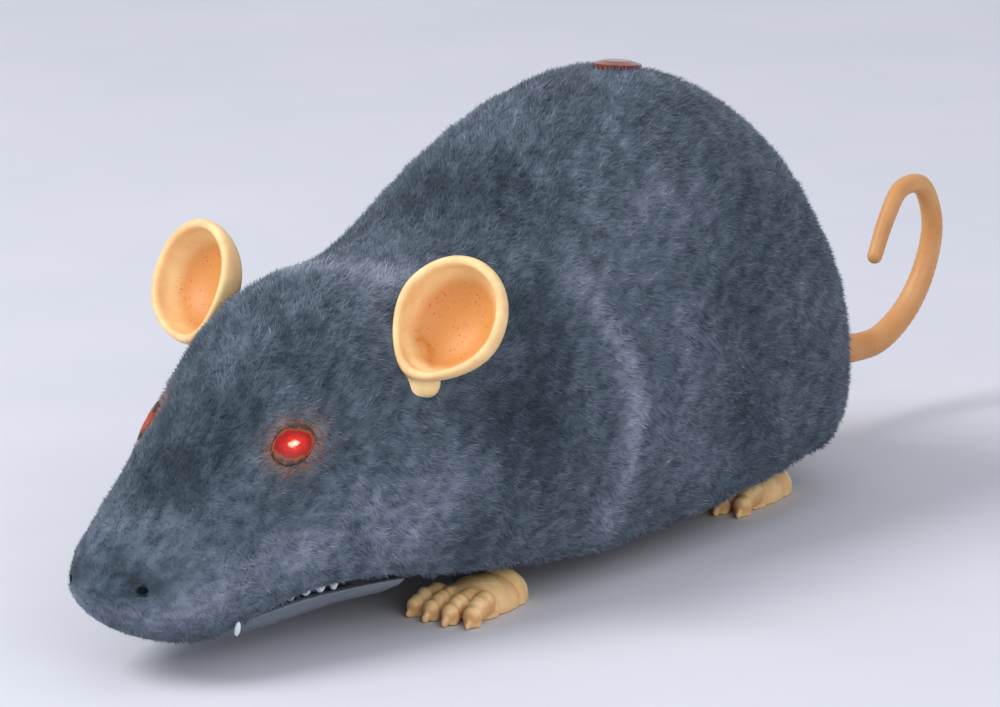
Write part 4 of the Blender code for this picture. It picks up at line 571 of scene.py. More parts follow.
materials = {
    "flock": flockedPile(),
    "vinyl": softVinyl(),
    "grey_plastic": mouldedPlastic("satinGreyAbs", "#4b5561", "#434c57", 0.42, 0.5, 0.03),
    "dark_plastic": mouldedPlastic("sparkedDarkAbs", "#2b2e32", "#23262a", 0.62, 0.5, 0.05),
    "jaw_plastic": mouldedPlastic("softGreyAbs", "#747c87", "#69717c", 0.36, 0.6, 0.02),
    "white_plastic": mouldedPlastic("glossWhiteAbs", "#e4e7ea", "#d3d8dd", 0.18, 2.0, 0.01,
                                    {"Coat Weight": 0.3}),
    "gear_plastic": mouldedPlastic("naturalAcetal", "#e2ddcb", "#d6cfb9", 0.30, 0.8, 0.01,
                                   {"Subsurface Weight": 0.1, "Subsurface Scale": 0.001}),
    "red_lens": redLens(),
    "lit_eye": litEye(),
    "led": ledResin(),
    "steel": platedMetal("nickelPlatedSteel", "#a9abae", "#c6c8ca", 0.28, 0.6),
    "motor_can": platedMetal("zincPlatedCan", "#9fa2a5", "#babdc0", 0.34, 1.2),
    "board": circuitBoard(),
    "chip_black": mouldedPlastic("mouldedEpoxyBlack", "#1c1d1f", "#151617", 0.5, 0.4, 0.02),
    "cell": cellWrap(),
    "lead": mouldedPlastic("pvcSleeveRed", "#8e1d17", "#7a1712", 0.4, 1.5, 0.02),
}
for subpart in frame["record"]["subparts"]:
    node = frame["nodes"][subpart["node"]]
    node.data.materials.clear()
    node.data.materials.append(materials[subpart["material_slot"]])
print("materials ready")


# The flocked skin, one sheet from lip to lip over the back

skin = {
    "rings": 170,
    "around": 132,
    "pileRoom": 0.5 * mm,  # the sheet lies this far inside the solid's form, so the pile ends near it
    "wall": 1.6 * mm,
    "noseDome": 1.5 * mm,
    "rumpDome": 1.8 * mm,
    "domeRings": 7,
    "evenShare": 0.35,  # how evenly the rings are spaced; the rest of them crowd to both ends
    "weld": 2e-5,  # corners closer than this are joined
    "eyeGap": 0.12 * mm,
    "windowGap": 0.3 * mm,
    "cutDeep": 5 * mm,  # how far a hole's cutter reaches in and out of the form
    "cutProud": 4 * mm,
    "tailDeep": 6 * mm,
    "nostril": {"half": (1.05 * mm, 0.75 * mm), "deep": 1.9 * mm, "proud": 3 * mm, "dark": 1.2 * mm},
    "depthShown": 0.45,  # how far from root to tip of the pile the bare skin looks, so the skin takes that much of the pile's painted root shade
    "redOnSkin": 0.25,
    "redReachMm": 1.8,
}


def sheetRow(share, count):  # one ring of the skin, from its left edge over the back to its right edge
    half = trimmed(halfSection(share, skin["pileRoom"]), float(edgeHeight(share)))
    left = evenly(half, count // 2 + 1)
    line = np.vstack([left, (left * [-1, 1])[-2::-1]])
    return np.column_stack([line[:, 0], np.full(len(line), alongToY(share)), line[:, 1]])


def endRows(row, dome, outward):  # rings that round off the nose or the rump
    middle = row.mean(axis=0)
    rows = []
    for step in range(1, skin["domeRings"] + 1):
        turn = math.pi / 2 * step / skin["domeRings"]
        ring = middle + (row - middle) * math.cos(turn)
        ring[:, 1] = row[0, 1] + outward * dome * math.sin(turn)
        rows.append(ring)
    return rows


def makeSheet():
    parts = np.linspace(0, 1, skin["rings"])
    even = skin["evenShare"]
    shares = even * parts + (1 - even) * (1 - np.cos(math.pi * parts)) / 2
    rows = [sheetRow(share, skin["around"]) for share in shares]
    for row, share in zip(rows, shares):  # the ends stay inside the domes
        row[:, 1] += skin["pileRoom"] * (1 - 2 * share)
    front, rear = endRows(rows[0], skin["noseDome"], -1), endRows(rows[-1], skin["rumpDome"], 1)
    rows = front[::-1] + rows + rear
    points = np.vstack(rows)
    sheet = newPiece("fur_sheet", points, gridFaces(len(rows), len(rows[0])), materials["flock"])
    return cleaned(sheet, skin["weld"]), rows


def outwardSheet(sheet):  # checks which way the faces look, and turns them all if they look in
    points, normals = pointsOf(sheet), normalsOf(sheet)
    top = points[:, 2] > bodyForm["height"] * 0.9
    if normals[top, 2].mean() < 0:
        reshaped(sheet, lambda shape: bmesh.ops.reverse_faces(shape, faces=shape.faces))


pileTones = {
    "base": 0.37,
    # blotches, and strokes along the lie of the pile: size in millimetres, strength, seed and number of waves
    "blotches": [(26, 0.06, 3, 7), (9, 0.05, 5, 12)],
    "strokes": [(3.0, 0.09, 8, 12), (1.7, 0.11, 9, 12)],
    "strokeStretch": (1, 0.45, 0.8),
    # brush marks and painted highlights and shade, the same on both sides: middle and size in millimetres,
    # and how much lighter the pile is painted there
    "brushMarksAndPaintedLight": [
        # the arc behind the shoulder: brushed pile with a painted highlight along its ridge
        ((27, -24, 63), (7, 3.6, 7), 0.12), ((31, -23, 57), (7, 3.4, 7), 0.17),
        ((35, -20.5, 50), (7, 3.4, 7), 0.23), ((37, -17.5, 43), (7, 3.2, 7), 0.29),
        ((38, -15.5, 36), (7, 3.2, 7), 0.31), ((38, -17, 28), (7, 3.4, 7), 0.31),
        ((38, -20, 21), (7, 3.6, 6), 0.30), ((37, -25, 13), (7, 4.5, 6), 0.36),
        # painted highlights, lighter: cheek, muzzle, chin, nape and flank
        ((31, -70, 27), (8, 11, 9), 0.22), ((28, -80, 19), (8, 8, 7), 0.24), ((26, -86, 30), (8, 8, 6), 0.14),
        ((14, -124, 15), (8, 9, 4), 0.24), ((7, -131, 15), (6, 6, 3), 0.18),
        ((18, -112, 20), (7, 9, 6), 0.18), ((22, -98, 22), (7, 9, 6), 0.28),
        ((8, -58, 66), (15, 7, 7), 0.46), ((30, 0, 70), (10, 16, 9), 0.16), ((38, -2, 22), (8, 10, 12), 0.16),
        ((39, 1, 44), (8, 8, 14), 0.11), ((38, 50, 36), (7, 8, 18), 0.06),
        # painted shade, darker: throat, crown, shoulder, behind the arc, brow, nose and the bridge of the
        # muzzle
        ((32, -62, 15), (8, 6, 7), -0.22), ((6, -24, 75), (18, 11, 9), -0.32),
        ((30, -36, 54), (9, 7, 11), -0.30), ((35, -42, 37), (8, 8, 12), -0.22),
        ((34, -53, 40), (7, 7, 9), -0.17),
        ((39, 19, 48), (8, 9, 12), -0.14), ((39, 19, 26), (8, 9, 10), -0.22),
        ((17, -84, 52), (9, 9, 7), -0.18), ((8, -84, 58), (8, 8, 6), -0.08),
        ((20, -95, 36), (8, 8, 7), -0.08),
        ((4, -131, 22), (6, 5, 5), -0.20), ((9, -131, 21), (4, 4, 3), -0.20),
        ((2, -114, 38), (9, 12, 7), -0.38), ((5, -101, 46), (9, 9, 7), -0.28),
    ],
}
lensGlow = {"from": 3.2 * mm, "stretch": (0.8, 1, 1)}  # where the eye's red begins to fade


def toneWithPaintedLight(points):  # how light the pile is at each point: random tone and brushing, with painted highlights and painted shade
    tone = np.full(len(points), pileTones["base"])
    for kind, stretch in (("blotches", (1, 1, 1)), ("strokes", pileTones["strokeStretch"])):
        for sizeMm, strength, seed, waves in pileTones[kind]:
            tone += strength * patches(points * stretch, sizeMm, seed, waves)
    mirrored = np.abs(points * [1, 0, 0]) + points * [0, 1, 1]
    for middle, size, lift in pileTones["brushMarksAndPaintedLight"]:
        offset = (mirrored - np.array(middle) * mm) / (np.array(size) * mm)
        tone += lift * np.exp(-(offset**2).sum(axis=1))
    return tone


def eyeLightAt(points, reachMm):  # how much of the lamp's red falls on the pile
    light = np.zeros(len(points))
    for matrix in eyeFrames.values():
        distance = np.linalg.norm(inFrame(points, matrix) * lensGlow["stretch"], axis=1)
        light = np.maximum(light, np.exp(-(np.maximum(distance - lensGlow["from"], 0) / (reachMm * mm))**2))
    return light


def cutterOf(name, frameMatrix, halfLong, halfHigh, below, above, sides=48):
    turns = np.linspace(0, 2 * math.pi, sides, endpoint=False)
    rim = np.stack([halfLong * np.cos(turns), halfHigh * np.sin(turns)], axis=1)
    rows = [np.column_stack([rim, np.full(sides, z)]) for z in (-below, above)]
    points = np.vstack(rows) @ np.array(frameMatrix.to_3x3()).T + np.array(frameMatrix.translation)
    middles = [points[:sides].mean(axis=0), points[sides:].mean(axis=0)]
    shape = bmesh.new()
    corners = [shape.verts.new(p) for p in points]
    ends = [shape.verts.new(p) for p in middles]
    for i in range(sides):
        j = (i + 1) % sides
        shape.faces.new((corners[i], corners[j], corners[sides + j], corners[sides + i]))
        shape.faces.new((corners[j], corners[i], ends[0]))
        shape.faces.new((corners[sides + i], corners[sides + j], ends[1]))
    bmesh.ops.recalc_face_normals(shape, faces=shape.faces)
    mesh = bpy.data.meshes.new(name)
    shape.to_mesh(mesh)
    shape.free()
    return linked(name, mesh)


def makeSkin(sheet):
    body = linked("flocked_skin", sheet.data.copy())
    wall = body.modifiers.new("wall", "SOLIDIFY")
    wall.thickness = skin["wall"]
    wall.offset = -1
    deep, proud, nostril = skin["cutDeep"], skin["cutProud"], skin["nostril"]
    eyeHalf = [size / 2 + skin["eyeGap"] for size in headPlaces["eyeSize"]]
    cutters = []
    for side in facing:
        cutters.append(cutterOf(side + "_eye_cutter", eyeFrames[side], *eyeHalf, deep, proud))
        cutters.append(cutterOf(side + "_nostril_cutter", nostrilFrames[side], *nostril["half"],
                                nostril["deep"], nostril["proud"], 20))
    radius = headPlaces["windowRadius"] + skin["windowGap"]
    cutters.append(cutterOf("window_cutter", windowFrame, radius, radius, deep, proud))
    tailRoot = Matrix.Translation((0, alongToY(1), headPlaces["tailHeight"]))
    rump = tailRoot @ Matrix.Rotation(-math.pi / 2, 4, "X")
    radius = headPlaces["tailRadius"]
    cutters.append(cutterOf("tail_cutter", rump, radius, radius, skin["tailDeep"], proud, 32))
    for cutter in cutters:
        hole = body.modifiers.new(cutter.name, "BOOLEAN")
        hole.operation = "DIFFERENCE"
        hole.solver = "EXACT"
        hole.object = cutter
    settled(body)
    for cutter in cutters:
        bpy.data.objects.remove(cutter, do_unlink=True)
    found = pointsOf(body)
    # painted shade in the nostril pits: the darkest tone and the root shade are set there
    pit = np.zeros(len(found), bool)
    for matrix in nostrilFrames.values():
        pit |= inBarrel(found, matrix, nostril["dark"], nostril["dark"], 2 * nostril["dark"])
    setValues(body, "pileTone", np.where(pit, 0, toneWithPaintedLight(found)))
    setValues(body, "pileTip", np.where(pit, 0, skin["depthShown"]))
    setValues(body, "eyeLight", eyeLightAt(found, skin["redReachMm"]) * skin["redOnSkin"])
    return place(body, "body", "flock", "body_shell")


sheet, sheetRows = makeSheet()
outwardSheet(sheet)
skinPiece = makeSkin(sheet)
print("skin ready,", len(skinPiece.data.polygons), "faces")


# The pile: short fibres blown on and brushed back, in two pieces of the same kind

pile = {
    "fibres": 168000,
    "lengthMm": 1.22,
    "atNose": 0.55,  # share of that length, and how much more between two places along the body
    "longer": [(0.02, 0.12, 0.35), (0.10, 0.30, 0.25)],
    "lengthSpread": (0.65, 1.35),
    "widthMm": 0.19,  # real flock is a tenth as wide, which is too fine to show
    "widthSpread": (0.7, 1.3),
    "thickMm": 0.02,
    "sunkMm": 0.1,
    "leanDeg": 58,
    "leanWave": (7, 14, 23),  # size in millimetres, degrees and seed
    "leanSpreadDeg": 9,
    "droop": 0.35,  # how much the lay runs down as it runs back
    "swirls": [(18, 0.55, 21), (5, 0.5, 22)],  # size in millimetres, radians and seed
    "swirlSpread": 0.30,
    "rollSpread": 0.45,
    "toneSpread": 0.13,
    "halfPlace": 0.61,  # where the pile is parted into its two pieces
    "fringe": {
        "fibres": 10000, "lengthMm": (0.9, 1.9), "leanDeg": 66, "up": 1.2 * mm, "outward": (0.86, 0, -0.5),
        "lay": (0, 0.8, -1.0), "lip": (0.10, 0.13, 0.27, 0.31), "shorterAtLip": 0.62,
    },
    "glow": {"reachMm": 3.0, "share": 0.42, "spread": (0.5, 1.0)},
    "clear": {"eyeInset": 0.1 * mm, "nostril": 1.5 * mm, "nostrilHigh": 3 * mm, "high": 4 * mm},
    "seed": 11,
}


def scattered(obj, count, random):  # points spread evenly over a mesh, with their normals
    obj.data.calc_loop_triangles()
    corners = np.empty(len(obj.data.loop_triangles) * 3, int)
    obj.data.loop_triangles.foreach_get("vertices", corners)
    corners = corners.reshape(-1, 3)
    points, normals = pointsOf(obj), normalsOf(obj)
    a, b, c = points[corners[:, 0]], points[corners[:, 1]], points[corners[:, 2]]
    areas = np.linalg.norm(np.cross(b - a, c - a), axis=1)
    chosen = random.choice(len(corners), count, p=areas / areas.sum())
    u, v = random.random((2, count, 1))
    flip = u + v > 1
    u, v = np.where(flip, 1 - u, u), np.where(flip, 1 - v, v)
    w = 1 - u - v
    spots = a[chosen] * w + b[chosen] * u + c[chosen] * v
    blended = sum(normals[corners[chosen, k]] * part for k, part in enumerate((w, u, v)))
    return spots, unit(blended)


def bare(points):  # where no fibre grows: holes, nostrils and under the ears
    gone = np.zeros(len(points), bool)
    clear, cup, foot = pile["clear"], ear["clearCup"], ear["clearFoot"]
    eyeHalf = [size / 2 - clear["eyeInset"] for size in headPlaces["eyeSize"]]
    for side, sign in facing.items():
        gone |= inBarrel(points, eyeFrames[side], *eyeHalf, clear["high"])
        radius = clear["nostril"]
        gone |= inBarrel(points, nostrilFrames[side], radius, radius, clear["nostrilHigh"])
        local = inFrame(points, earFrame(sign)) - [0, 0, ear["height"] * ear["rise"]]
        across, height = ear["width"] / 2, ear["height"] / 2
        oval = np.hypot(local[:, 0] / across, local[:, 2] / height) < cup["oversize"]
        gone |= oval & (np.abs(local[:, 1] - cup["behind"]) < cup["halfDeep"])
        across, height = foot["half"]
        oval = np.hypot(local[:, 0] / across, (local[:, 2] + foot["below"]) / height) < 1
        gone |= oval & (np.abs(local[:, 1] - foot["behind"]) < foot["halfDeep"])
    radius = headPlaces["windowRadius"] + skin["windowGap"]
    return gone | inBarrel(points, windowFrame, radius, radius, clear["high"])


def rotatedAbout(vectors, axes, turns):
    turns = turns[:, None]
    return vectors * np.cos(turns) + np.cross(axes, vectors) * np.sin(turns)


def fibresFrom(spots, normals, random, lengths, lay, lean):
    count = len(spots)
    lay = unit(lay - normals * (lay * normals).sum(axis=1, keepdims=True))
    swirl = sum(amount * patches(spots, sizeMm, seed) for sizeMm, amount, seed in pile["swirls"])
    lay = rotatedAbout(lay, normals, swirl + random.normal(0, pile["swirlSpread"], count))
    sizeMm, amount, seed = pile["leanWave"]
    leanDeg = lean + amount * patches(spots, sizeMm, seed) + random.normal(0, pile["leanSpreadDeg"], count)
    tilt = np.radians(leanDeg)[:, None]
    along = normals * np.cos(tilt) + lay * np.sin(tilt)
    across = rotatedAbout(unit(np.cross(along, normals)), along, random.normal(0, pile["rollSpread"], count))
    half = across * (pile["widthMm"] * mm / 2 * random.uniform(*pile["widthSpread"], count))[:, None]
    root = spots - normals * pile["sunkMm"] * mm
    tips = root + along * lengths[:, None]
    return np.stack([root - half, root + half, tips], axis=1)


def fringeSpots(random):  # points along the skin's lower edge, looking down and out
    fringe = pile["fringe"]
    spots, normals = [], []
    for end, sign in ((0, 1), (-1, -1)):
        line = np.array([row[end] for row in sheetRows])
        opened = line[np.abs(line[:, 0]) > 1.0 * mm]
        steps = np.concatenate([[0], np.cumsum(np.linalg.norm(np.diff(opened, axis=0), axis=1))])
        places = random.uniform(0, steps[-1], fringe["fibres"] // 2)
        found = np.stack([np.interp(places, steps, opened[:, k]) for k in range(3)], axis=1)
        found[:, 2] += random.uniform(0, fringe["up"], len(found))
        spots.append(found)
        normals.append(np.tile(np.multiply(fringe["outward"], (sign, 1, 1)), (len(found), 1)))
    return np.vstack(spots), unit(np.vstack(normals))


def twoSided(blades):  # a front and a back for each blade, so that it looks the same from both sides
    flat = unit(np.cross(blades[:, 1] - blades[:, 0], blades[:, 2] - blades[:, 0]))[:, None]
    step = flat * (pile["thickMm"] * mm / 2)
    return np.stack([blades + step, blades[:, [1, 0, 2]] - step], axis=1).reshape(-1, 3)


def makePile():
    random = np.random.default_rng(pile["seed"])
    spots, normals = scattered(sheet, pile["fibres"], random)
    keep = ~bare(spots)
    spots, normals = spots[keep], normals[keep]
    share = yToAlong(spots[:, 1])
    long = pile["atNose"] + sum(more * smoothStep(share, start, end) for start, end, more in pile["longer"])
    lengths = pile["lengthMm"] * mm * long * random.uniform(*pile["lengthSpread"], len(spots))
    lay = np.tile([0, 1, -pile["droop"]], (len(spots), 1))
    blades = fibresFrom(spots, normals, random, lengths, lay, pile["leanDeg"])

    fringe, glow = pile["fringe"], pile["glow"]
    edge, outward = fringeSpots(random)
    share = yToAlong(edge[:, 1])
    lipStart, lipFull, lipFade, lipEnd = fringe["lip"]
    atLip = smoothStep(share, lipStart, lipFull) * (1 - smoothStep(share, lipFade, lipEnd))
    lengths = random.uniform(*fringe["lengthMm"], len(edge)) * mm * (1 - fringe["shorterAtLip"] * atLip)
    lay = np.tile(fringe["lay"], (len(edge), 1))
    blades = np.vstack([blades, fibresFrom(edge, outward, random, lengths, lay, fringe["leanDeg"])])

    roots = np.vstack([spots, edge])
    facingOut = np.vstack([normals, outward])
    tones = toneWithPaintedLight(roots) + random.normal(0, pile["toneSpread"], len(roots))
    red = eyeLightAt(roots, glow["reachMm"]) * (random.random(len(roots)) < glow["share"])
    red = red * random.uniform(*glow["spread"], len(roots))
    inFront = roots[:, 1] < alongToY(pile["halfPlace"])
    halves = {"head_pile": inFront, "back_pile": ~inFront}
    for name, mask in halves.items():
        corners = twoSided(blades[mask])
        perFibre = len(corners) // mask.sum()
        obj = newPiece(name, corners, np.arange(len(corners)).reshape(-1, 3), materials["flock"])
        setValues(obj, "pileTone", np.repeat(tones[mask], perFibre))
        # painted shade deep in the pile: dark at the root, light at the tip
        setValues(obj, "pileTip", np.tile([0.25, 0.25, 1.0], 2 * mask.sum()))
        setValues(obj, "eyeLight", np.repeat(red[mask], perFibre))
        smoothShaded(obj)
        obj.data.normals_split_custom_set_from_vertices(np.repeat(facingOut[mask], perFibre, axis=0).tolist())
        place(obj, "body", "flock")
        print(name, int(mask.sum()), "fibres")


makePile()
bpy.data.objects.remove(sheet, do_unlink=True)


# Ears: soft vinyl cups with a thick rolled rim

def earTaper(z):  # width of the ear at a height over its middle, against an even oval
    up = np.clip((z / ear["height"] + 0.5) / ear["fullShare"], 0, 1)
    return ear["footShare"] + (1 - ear["footShare"]) * np.sin(up * math.pi / 2)


def earBowl(wall, deep):  # half an egg, open to the front, drawn in by a wall
    rows = []
    around = np.linspace(0, 2 * math.pi, ear["around"], endpoint=False)
    for turn in np.linspace(0, math.pi / 2, ear["rings"]):
        z = (ear["height"] / 2 - wall) * np.cos(turn) * np.sin(around)
        x = (ear["width"] / 2 - wall) * np.cos(turn) * np.cos(around) * earTaper(z)
        y = np.full(len(around), (ear["depth"] * deep - wall * 0.5) * math.sin(turn))
        rows.append(np.column_stack([x, y, z]))
    return rows


def makeEar(side, sign):
    outer, inner = earBowl(0, 1.0), earBowl(ear["wall"], ear["innerDeep"])
    rim = []
    for turn in np.linspace(0, math.pi, ear["rimRings"] + 2)[1:-1]:  # the rolled rim bulges to the front
        blend = (1 - math.cos(turn)) / 2
        ring = outer[0] * (1 - blend) + inner[0] * blend
        ring[:, 1] -= ear["wall"] * ear["rimRoll"] * math.sin(turn)
        rim.append(ring)
    rows = outer[::-1] + rim + inner
    middle = np.array([0, -ear["depth"] * ear["forward"], ear["height"] * ear["rise"]])
    faces = gridFaces(len(rows), ear["around"], True)
    cup = newPiece(side + "_vinyl_ear", np.vstack(rows) + middle, faces, materials["vinyl"])
    cleaned(cup, ear["weld"])

    def addFoot(shape):
        for spot, size in ear["foot"]:
            addLump(shape, Vector(spot) * mm * Vector((sign, 1, 1)), [width * mm for width in size])

    softened(fused(reshaped(cup, addFoot), ear["voxel"]), ear["rounds"])
    tint, local = ear["tint"], pointsOf(cup) - middle
    z = local[:, 2] / (ear["height"] / 2 - ear["wall"])
    x = local[:, 0] / ((ear["width"] / 2 - ear["wall"]) * earTaper(local[:, 2]))
    inside = smoothStep(1 - np.hypot(x, z), *tint["fromRim"]) * smoothStep(local[:, 1], *tint["fromFront"])
    inside = inside * (normalsOf(cup)[:, 1] < tint["facing"])
    # the orange grows stronger deeper in the cup: painted shade in the hollow
    orange = tint["bowl"] + tint["bottom"] * smoothStep(local[:, 1], 0, tint["bottomDeep"])
    setValues(cup, "sprayAndShade", tint["rim"] + inside * orange)
    # painted shade in the fold at the bottom of the cup
    setValues(cup, "darkTintAndShade", tint["darkAndShade"] * inside * smoothStep(-z, *tint["foldFrom"]))
    setValues(cup, "freckle", inside)
    cup.data.transform(earFrame(sign))
    return place(cup, "body", "vinyl", side + "_ear")


for side, sign in facing.items():
    makeEar(side, sign)
print("ears ready")


# Eyes: domed red lenses lit from behind

eye = {
    "rise": 0.45 * mm,
    "domePower": 2.4,
    "innermost": 0.02,  # radius of the smallest ring, as a share
    "rings": 22,
    "around": 56,
    "inside": 2.4 * mm,
    # the lit almond within the lens
    "litLong": 9.9 * mm,
    "litHigh": 6.8 * mm,
    "litTurnDeg": -30.0,
}


def closeEnds(shape):
    bmesh.ops.holes_fill(shape, edges=[edge for edge in shape.edges if edge.is_boundary])
    bmesh.ops.recalc_face_normals(shape, faces=shape.faces)


def makeEye(side, sign):
    long, high = headPlaces["eyeSize"]
    inside, innermost = eye["inside"], eye["innermost"]
    turns = np.linspace(0, 2 * math.pi, eye["around"], endpoint=False)
    steps = [(r, eye["rise"] * (1 - r**eye["domePower"])) for r in np.linspace(innermost, 1, eye["rings"])]
    steps += [(1.0, -inside * 0.5), (1.0, -inside), (innermost, -inside)]
    rows = []
    for r, z in steps:
        x, y = long / 2 * r * np.cos(turns), high / 2 * r * np.sin(turns)
        rows.append(np.column_stack([x, y, np.full(len(turns), z)]))
    points = np.vstack(rows)
    tilt = sign * math.radians(eye["litTurnDeg"])
    lengthwise = (points[:, 0] * math.cos(tilt) + points[:, 1] * math.sin(tilt)) / (eye["litLong"] / 2)
    crosswise = (points[:, 1] * math.cos(tilt) - points[:, 0] * math.sin(tilt)) / (eye["litHigh"] / 2)
    faces = gridFaces(len(rows), eye["around"], True)
    lens = newPiece(side + "_lit_lens", points, faces, materials["lit_eye"])
    smoothShaded(reshaped(lens, closeEnds))
    setValues(lens, "lensRadius", np.hypot(lengthwise, crosswise))
    lens.data.transform(eyeFrames[side])
    return place(lens, "body", "red_lens", side + "_eye_lens")


for side, sign in facing.items():
    makeEye(side, sign)
print("eyes ready")


# Paws: soft vinyl feet with four wrinkled toes

paw = {
    "width": 15.0 * mm,
    # the foot's lumps in millimetres, only the width as a share: back, up, width, length, height
    "foot": [(15.0, 1.6, 0.92, 17, 9.6), (20.6, 1.5, 0.78, 10.4, 10.6), (10.2, 1.4, 0.98, 9.5, 8.6)],
    "toes": 4,
    "toeRadius": 2.45 * mm,
    "toeNarrow": 0.86,  # width of a toe against its height
    "toeApart": 3.7 * mm,
    "toeRoot": 9.4 * mm,
    "toeReach": 8.2 * mm,
    "fanDeg": 9.0,
    "shorter": 0.10,  # how much each toe is shorter than its neighbour nearer the longest
    "longest": 0.4,  # where the longest toe would stand, in toes outward of the middle
    # a toe's joints: share of its reach, height in millimetres, thickness as a share, length in millimetres
    "joints": [(0.12, 3.1, 1.02, 5.4), (0.50, 2.9, 0.98, 4.8), (0.86, 1.9, 0.90, 4.2)],
    "jointTipDeg": 14,
    "tip": {"reach": 9.0 * mm, "up": 1.1 * mm, "size": (1.5 * mm, 3.0 * mm, 1.5 * mm), "tipDeg": 22},
    "voxel": 0.30 * mm,
    "rounds": 2,
    # wrinkles across the toes and creases across the foot, in millimetres, and the flat sole
    "wrinkles": {"everyMm": 1.7, "bow": 0.9, "bowPerMm": 0.9, "deepMm": 0.10, "fade": (-9.5, -6.5)},
    "creases": {"everyMm": 3.1, "slant": 0.5, "wander": 1.3, "wanderMm": 7, "seed": 5, "deepMm": 0.09,
                "fade": (6, 10)},
    "flat": {"below": 0.9 * mm, "lost": 0.25 * mm},
    # painted shade, brown, between the toes: on steep sides, over the sole, under the knuckles and before the
    # foot
    "groove": {"steep": (0.0, 0.55), "from": (0.4, 1.6), "to": (4.4, 5.6), "fade": (-12, -8)},
    "tint": {"base": 0.12, "mottle": 0.14, "mottleMm": 6, "seed": 31, "groove": 0.34, "darkAndShade": 0.26},
}


def addToe(shape, middle, spread, side):
    turn = -paw["fanDeg"] * spread
    reach = 1.0 - paw["shorter"] * abs(spread - paw["longest"] * side)
    root = middle + Vector((spread * paw["toeApart"], paw["toeRoot"], 0))
    aim = Matrix.Rotation(math.radians(-turn), 3, "Z") @ Vector((0, -1, 0))
    for share, lift, thick, longMm in paw["joints"]:
        spot = root + aim * (share * paw["toeReach"] * reach) + Vector((0, 0, lift * mm))
        tall = 2 * paw["toeRadius"] * thick
        addLump(shape, spot, (tall * paw["toeNarrow"], longMm * mm, tall), -turn, paw["jointTipDeg"] * share)
    tip = paw["tip"]
    spot = root + aim * (tip["reach"] * reach) + Vector((0, 0, tip["up"]))
    addLump(shape, spot, tip["size"], -turn, tip["tipDeg"])


def wrinkled(points, normals, local):
    wrinkles, creases, flat = paw["wrinkles"], paw["creases"], paw["flat"]
    wave = 2 * math.pi * local[:, 1]
    bow = wrinkles["bow"] * np.sin(local[:, 0] * wrinkles["bowPerMm"])
    deep = wrinkles["deepMm"] * np.sin(wave / wrinkles["everyMm"] + bow)
    deep = deep * smoothStep(-local[:, 1], *wrinkles["fade"])
    wander = creases["wander"] * patches(points, creases["wanderMm"], creases["seed"])
    crease = np.sin(wave / creases["everyMm"] + local[:, 0] * creases["slant"] + wander)
    deep = deep + creases["deepMm"] * crease * smoothStep(local[:, 1], *creases["fade"])
    points = points + normals * (deep[:, None] * mm)
    points[:, 2] = np.maximum(points[:, 2], 0)
    below, lost = flat["below"], flat["lost"]
    under = points[:, 2] < below
    points[under, 2] = np.maximum(0, (points[under, 2] - lost) * below / (below - lost))
    return points


def makePaw(name):
    low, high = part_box(name + "_paw")
    armLow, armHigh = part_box(name + "_leg_arm")
    side = 1 if armLow.x + armHigh.x > 0 else -1
    middle = Vector(((low.x + high.x) / 2, low.y, 0))
    obj = linked(name + "_vinyl_paw", bpy.data.meshes.new(name + "_vinyl_paw"))
    obj.data.materials.append(materials["vinyl"])

    def addLumps(shape):
        for back, up, wide, longMm, highMm in paw["foot"]:
            spot = middle + Vector((0, back * mm, up * mm))
            addLump(shape, spot, (paw["width"] * wide, longMm * mm, highMm * mm))
        for toe in range(paw["toes"]):
            addToe(shape, middle, toe - (paw["toes"] - 1) / 2, side)

    fused(reshaped(obj, addLumps), paw["voxel"])
    points = pointsOf(obj)
    points = wrinkled(points, normalsOf(obj), (points - np.array(middle)) / mm)
    obj.data.vertices.foreach_set("co", points.ravel())
    obj.data.update()
    softened(obj, paw["rounds"])
    groove, tint = paw["groove"], paw["tint"]
    points = pointsOf(obj)
    local = (points - np.array(middle)) / mm
    # painted shade in the grooves between the toes and low round the foot
    grooveShade = 1 - smoothStep(normalsOf(obj)[:, 2], *groove["steep"])
    grooveShade *= smoothStep(local[:, 2], *groove["from"]) * (1 - smoothStep(local[:, 2], *groove["to"]))
    grooveShade *= smoothStep(-local[:, 1], *groove["fade"])
    mottle = tint["mottle"] * patches(points, tint["mottleMm"], tint["seed"])
    setValues(obj, "sprayAndShade", tint["base"] + mottle + tint["groove"] * grooveShade)
    setValues(obj, "darkTintAndShade", tint["darkAndShade"] * grooveShade)
    setValues(obj, "freckle", np.zeros(len(points)))
    return place(obj, name + "_leg", "vinyl", name + "_paw")


for name in ("left_front", "right_front", "left_rear", "right_rear"):
    makePaw(name)
print("paws ready")


# Tail: a tapered vinyl cord that curls up and over

tail = {
    "swing": 8.0 * mm,
    "reach": 60.2 * mm,
    "curlHeight": 50.0 * mm,
    # swing, reach and height along the tail, as shares of these three
    "route": [
        (0.00, -0.115, 0.470), (0.00, -0.030, 0.468), (0.05, 0.060, 0.460), (0.13, 0.210, 0.408),
        (0.25, 0.395, 0.346), (0.38, 0.570, 0.320), (0.50, 0.700, 0.326), (0.70, 0.830, 0.420),
        (0.88, 0.930, 0.594), (1.00, 0.959, 0.796), (1.00, 0.886, 0.970), (1.00, 0.762, 0.974),
        (1.00, 0.674, 0.866), (1.00, 0.599, 0.724),
    ],
    "rootRadius": 3.8 * mm,
    "tipRadius": 1.6 * mm,
    "rings": 190,
    "around": 26,
    "tipRings": 6,
    "rootShare": 1e-3,  # the closed root end, as a share of the first ring
    "weld": 5e-6,
    "ringMm": 1.6,  # fine rings round the tail: how often and how deep
    "ringShare": 0.018,
    # painted shade makes it darker near the body; it is also mottled
    "tint": {"base": 0.66, "near": 0.22, "mottle": 0.12, "mottleMm": 9, "seed": 41},
    "darkAndShade": {"base": 0.28, "near": 0.50},
    "nearReach": 16 * mm,
}


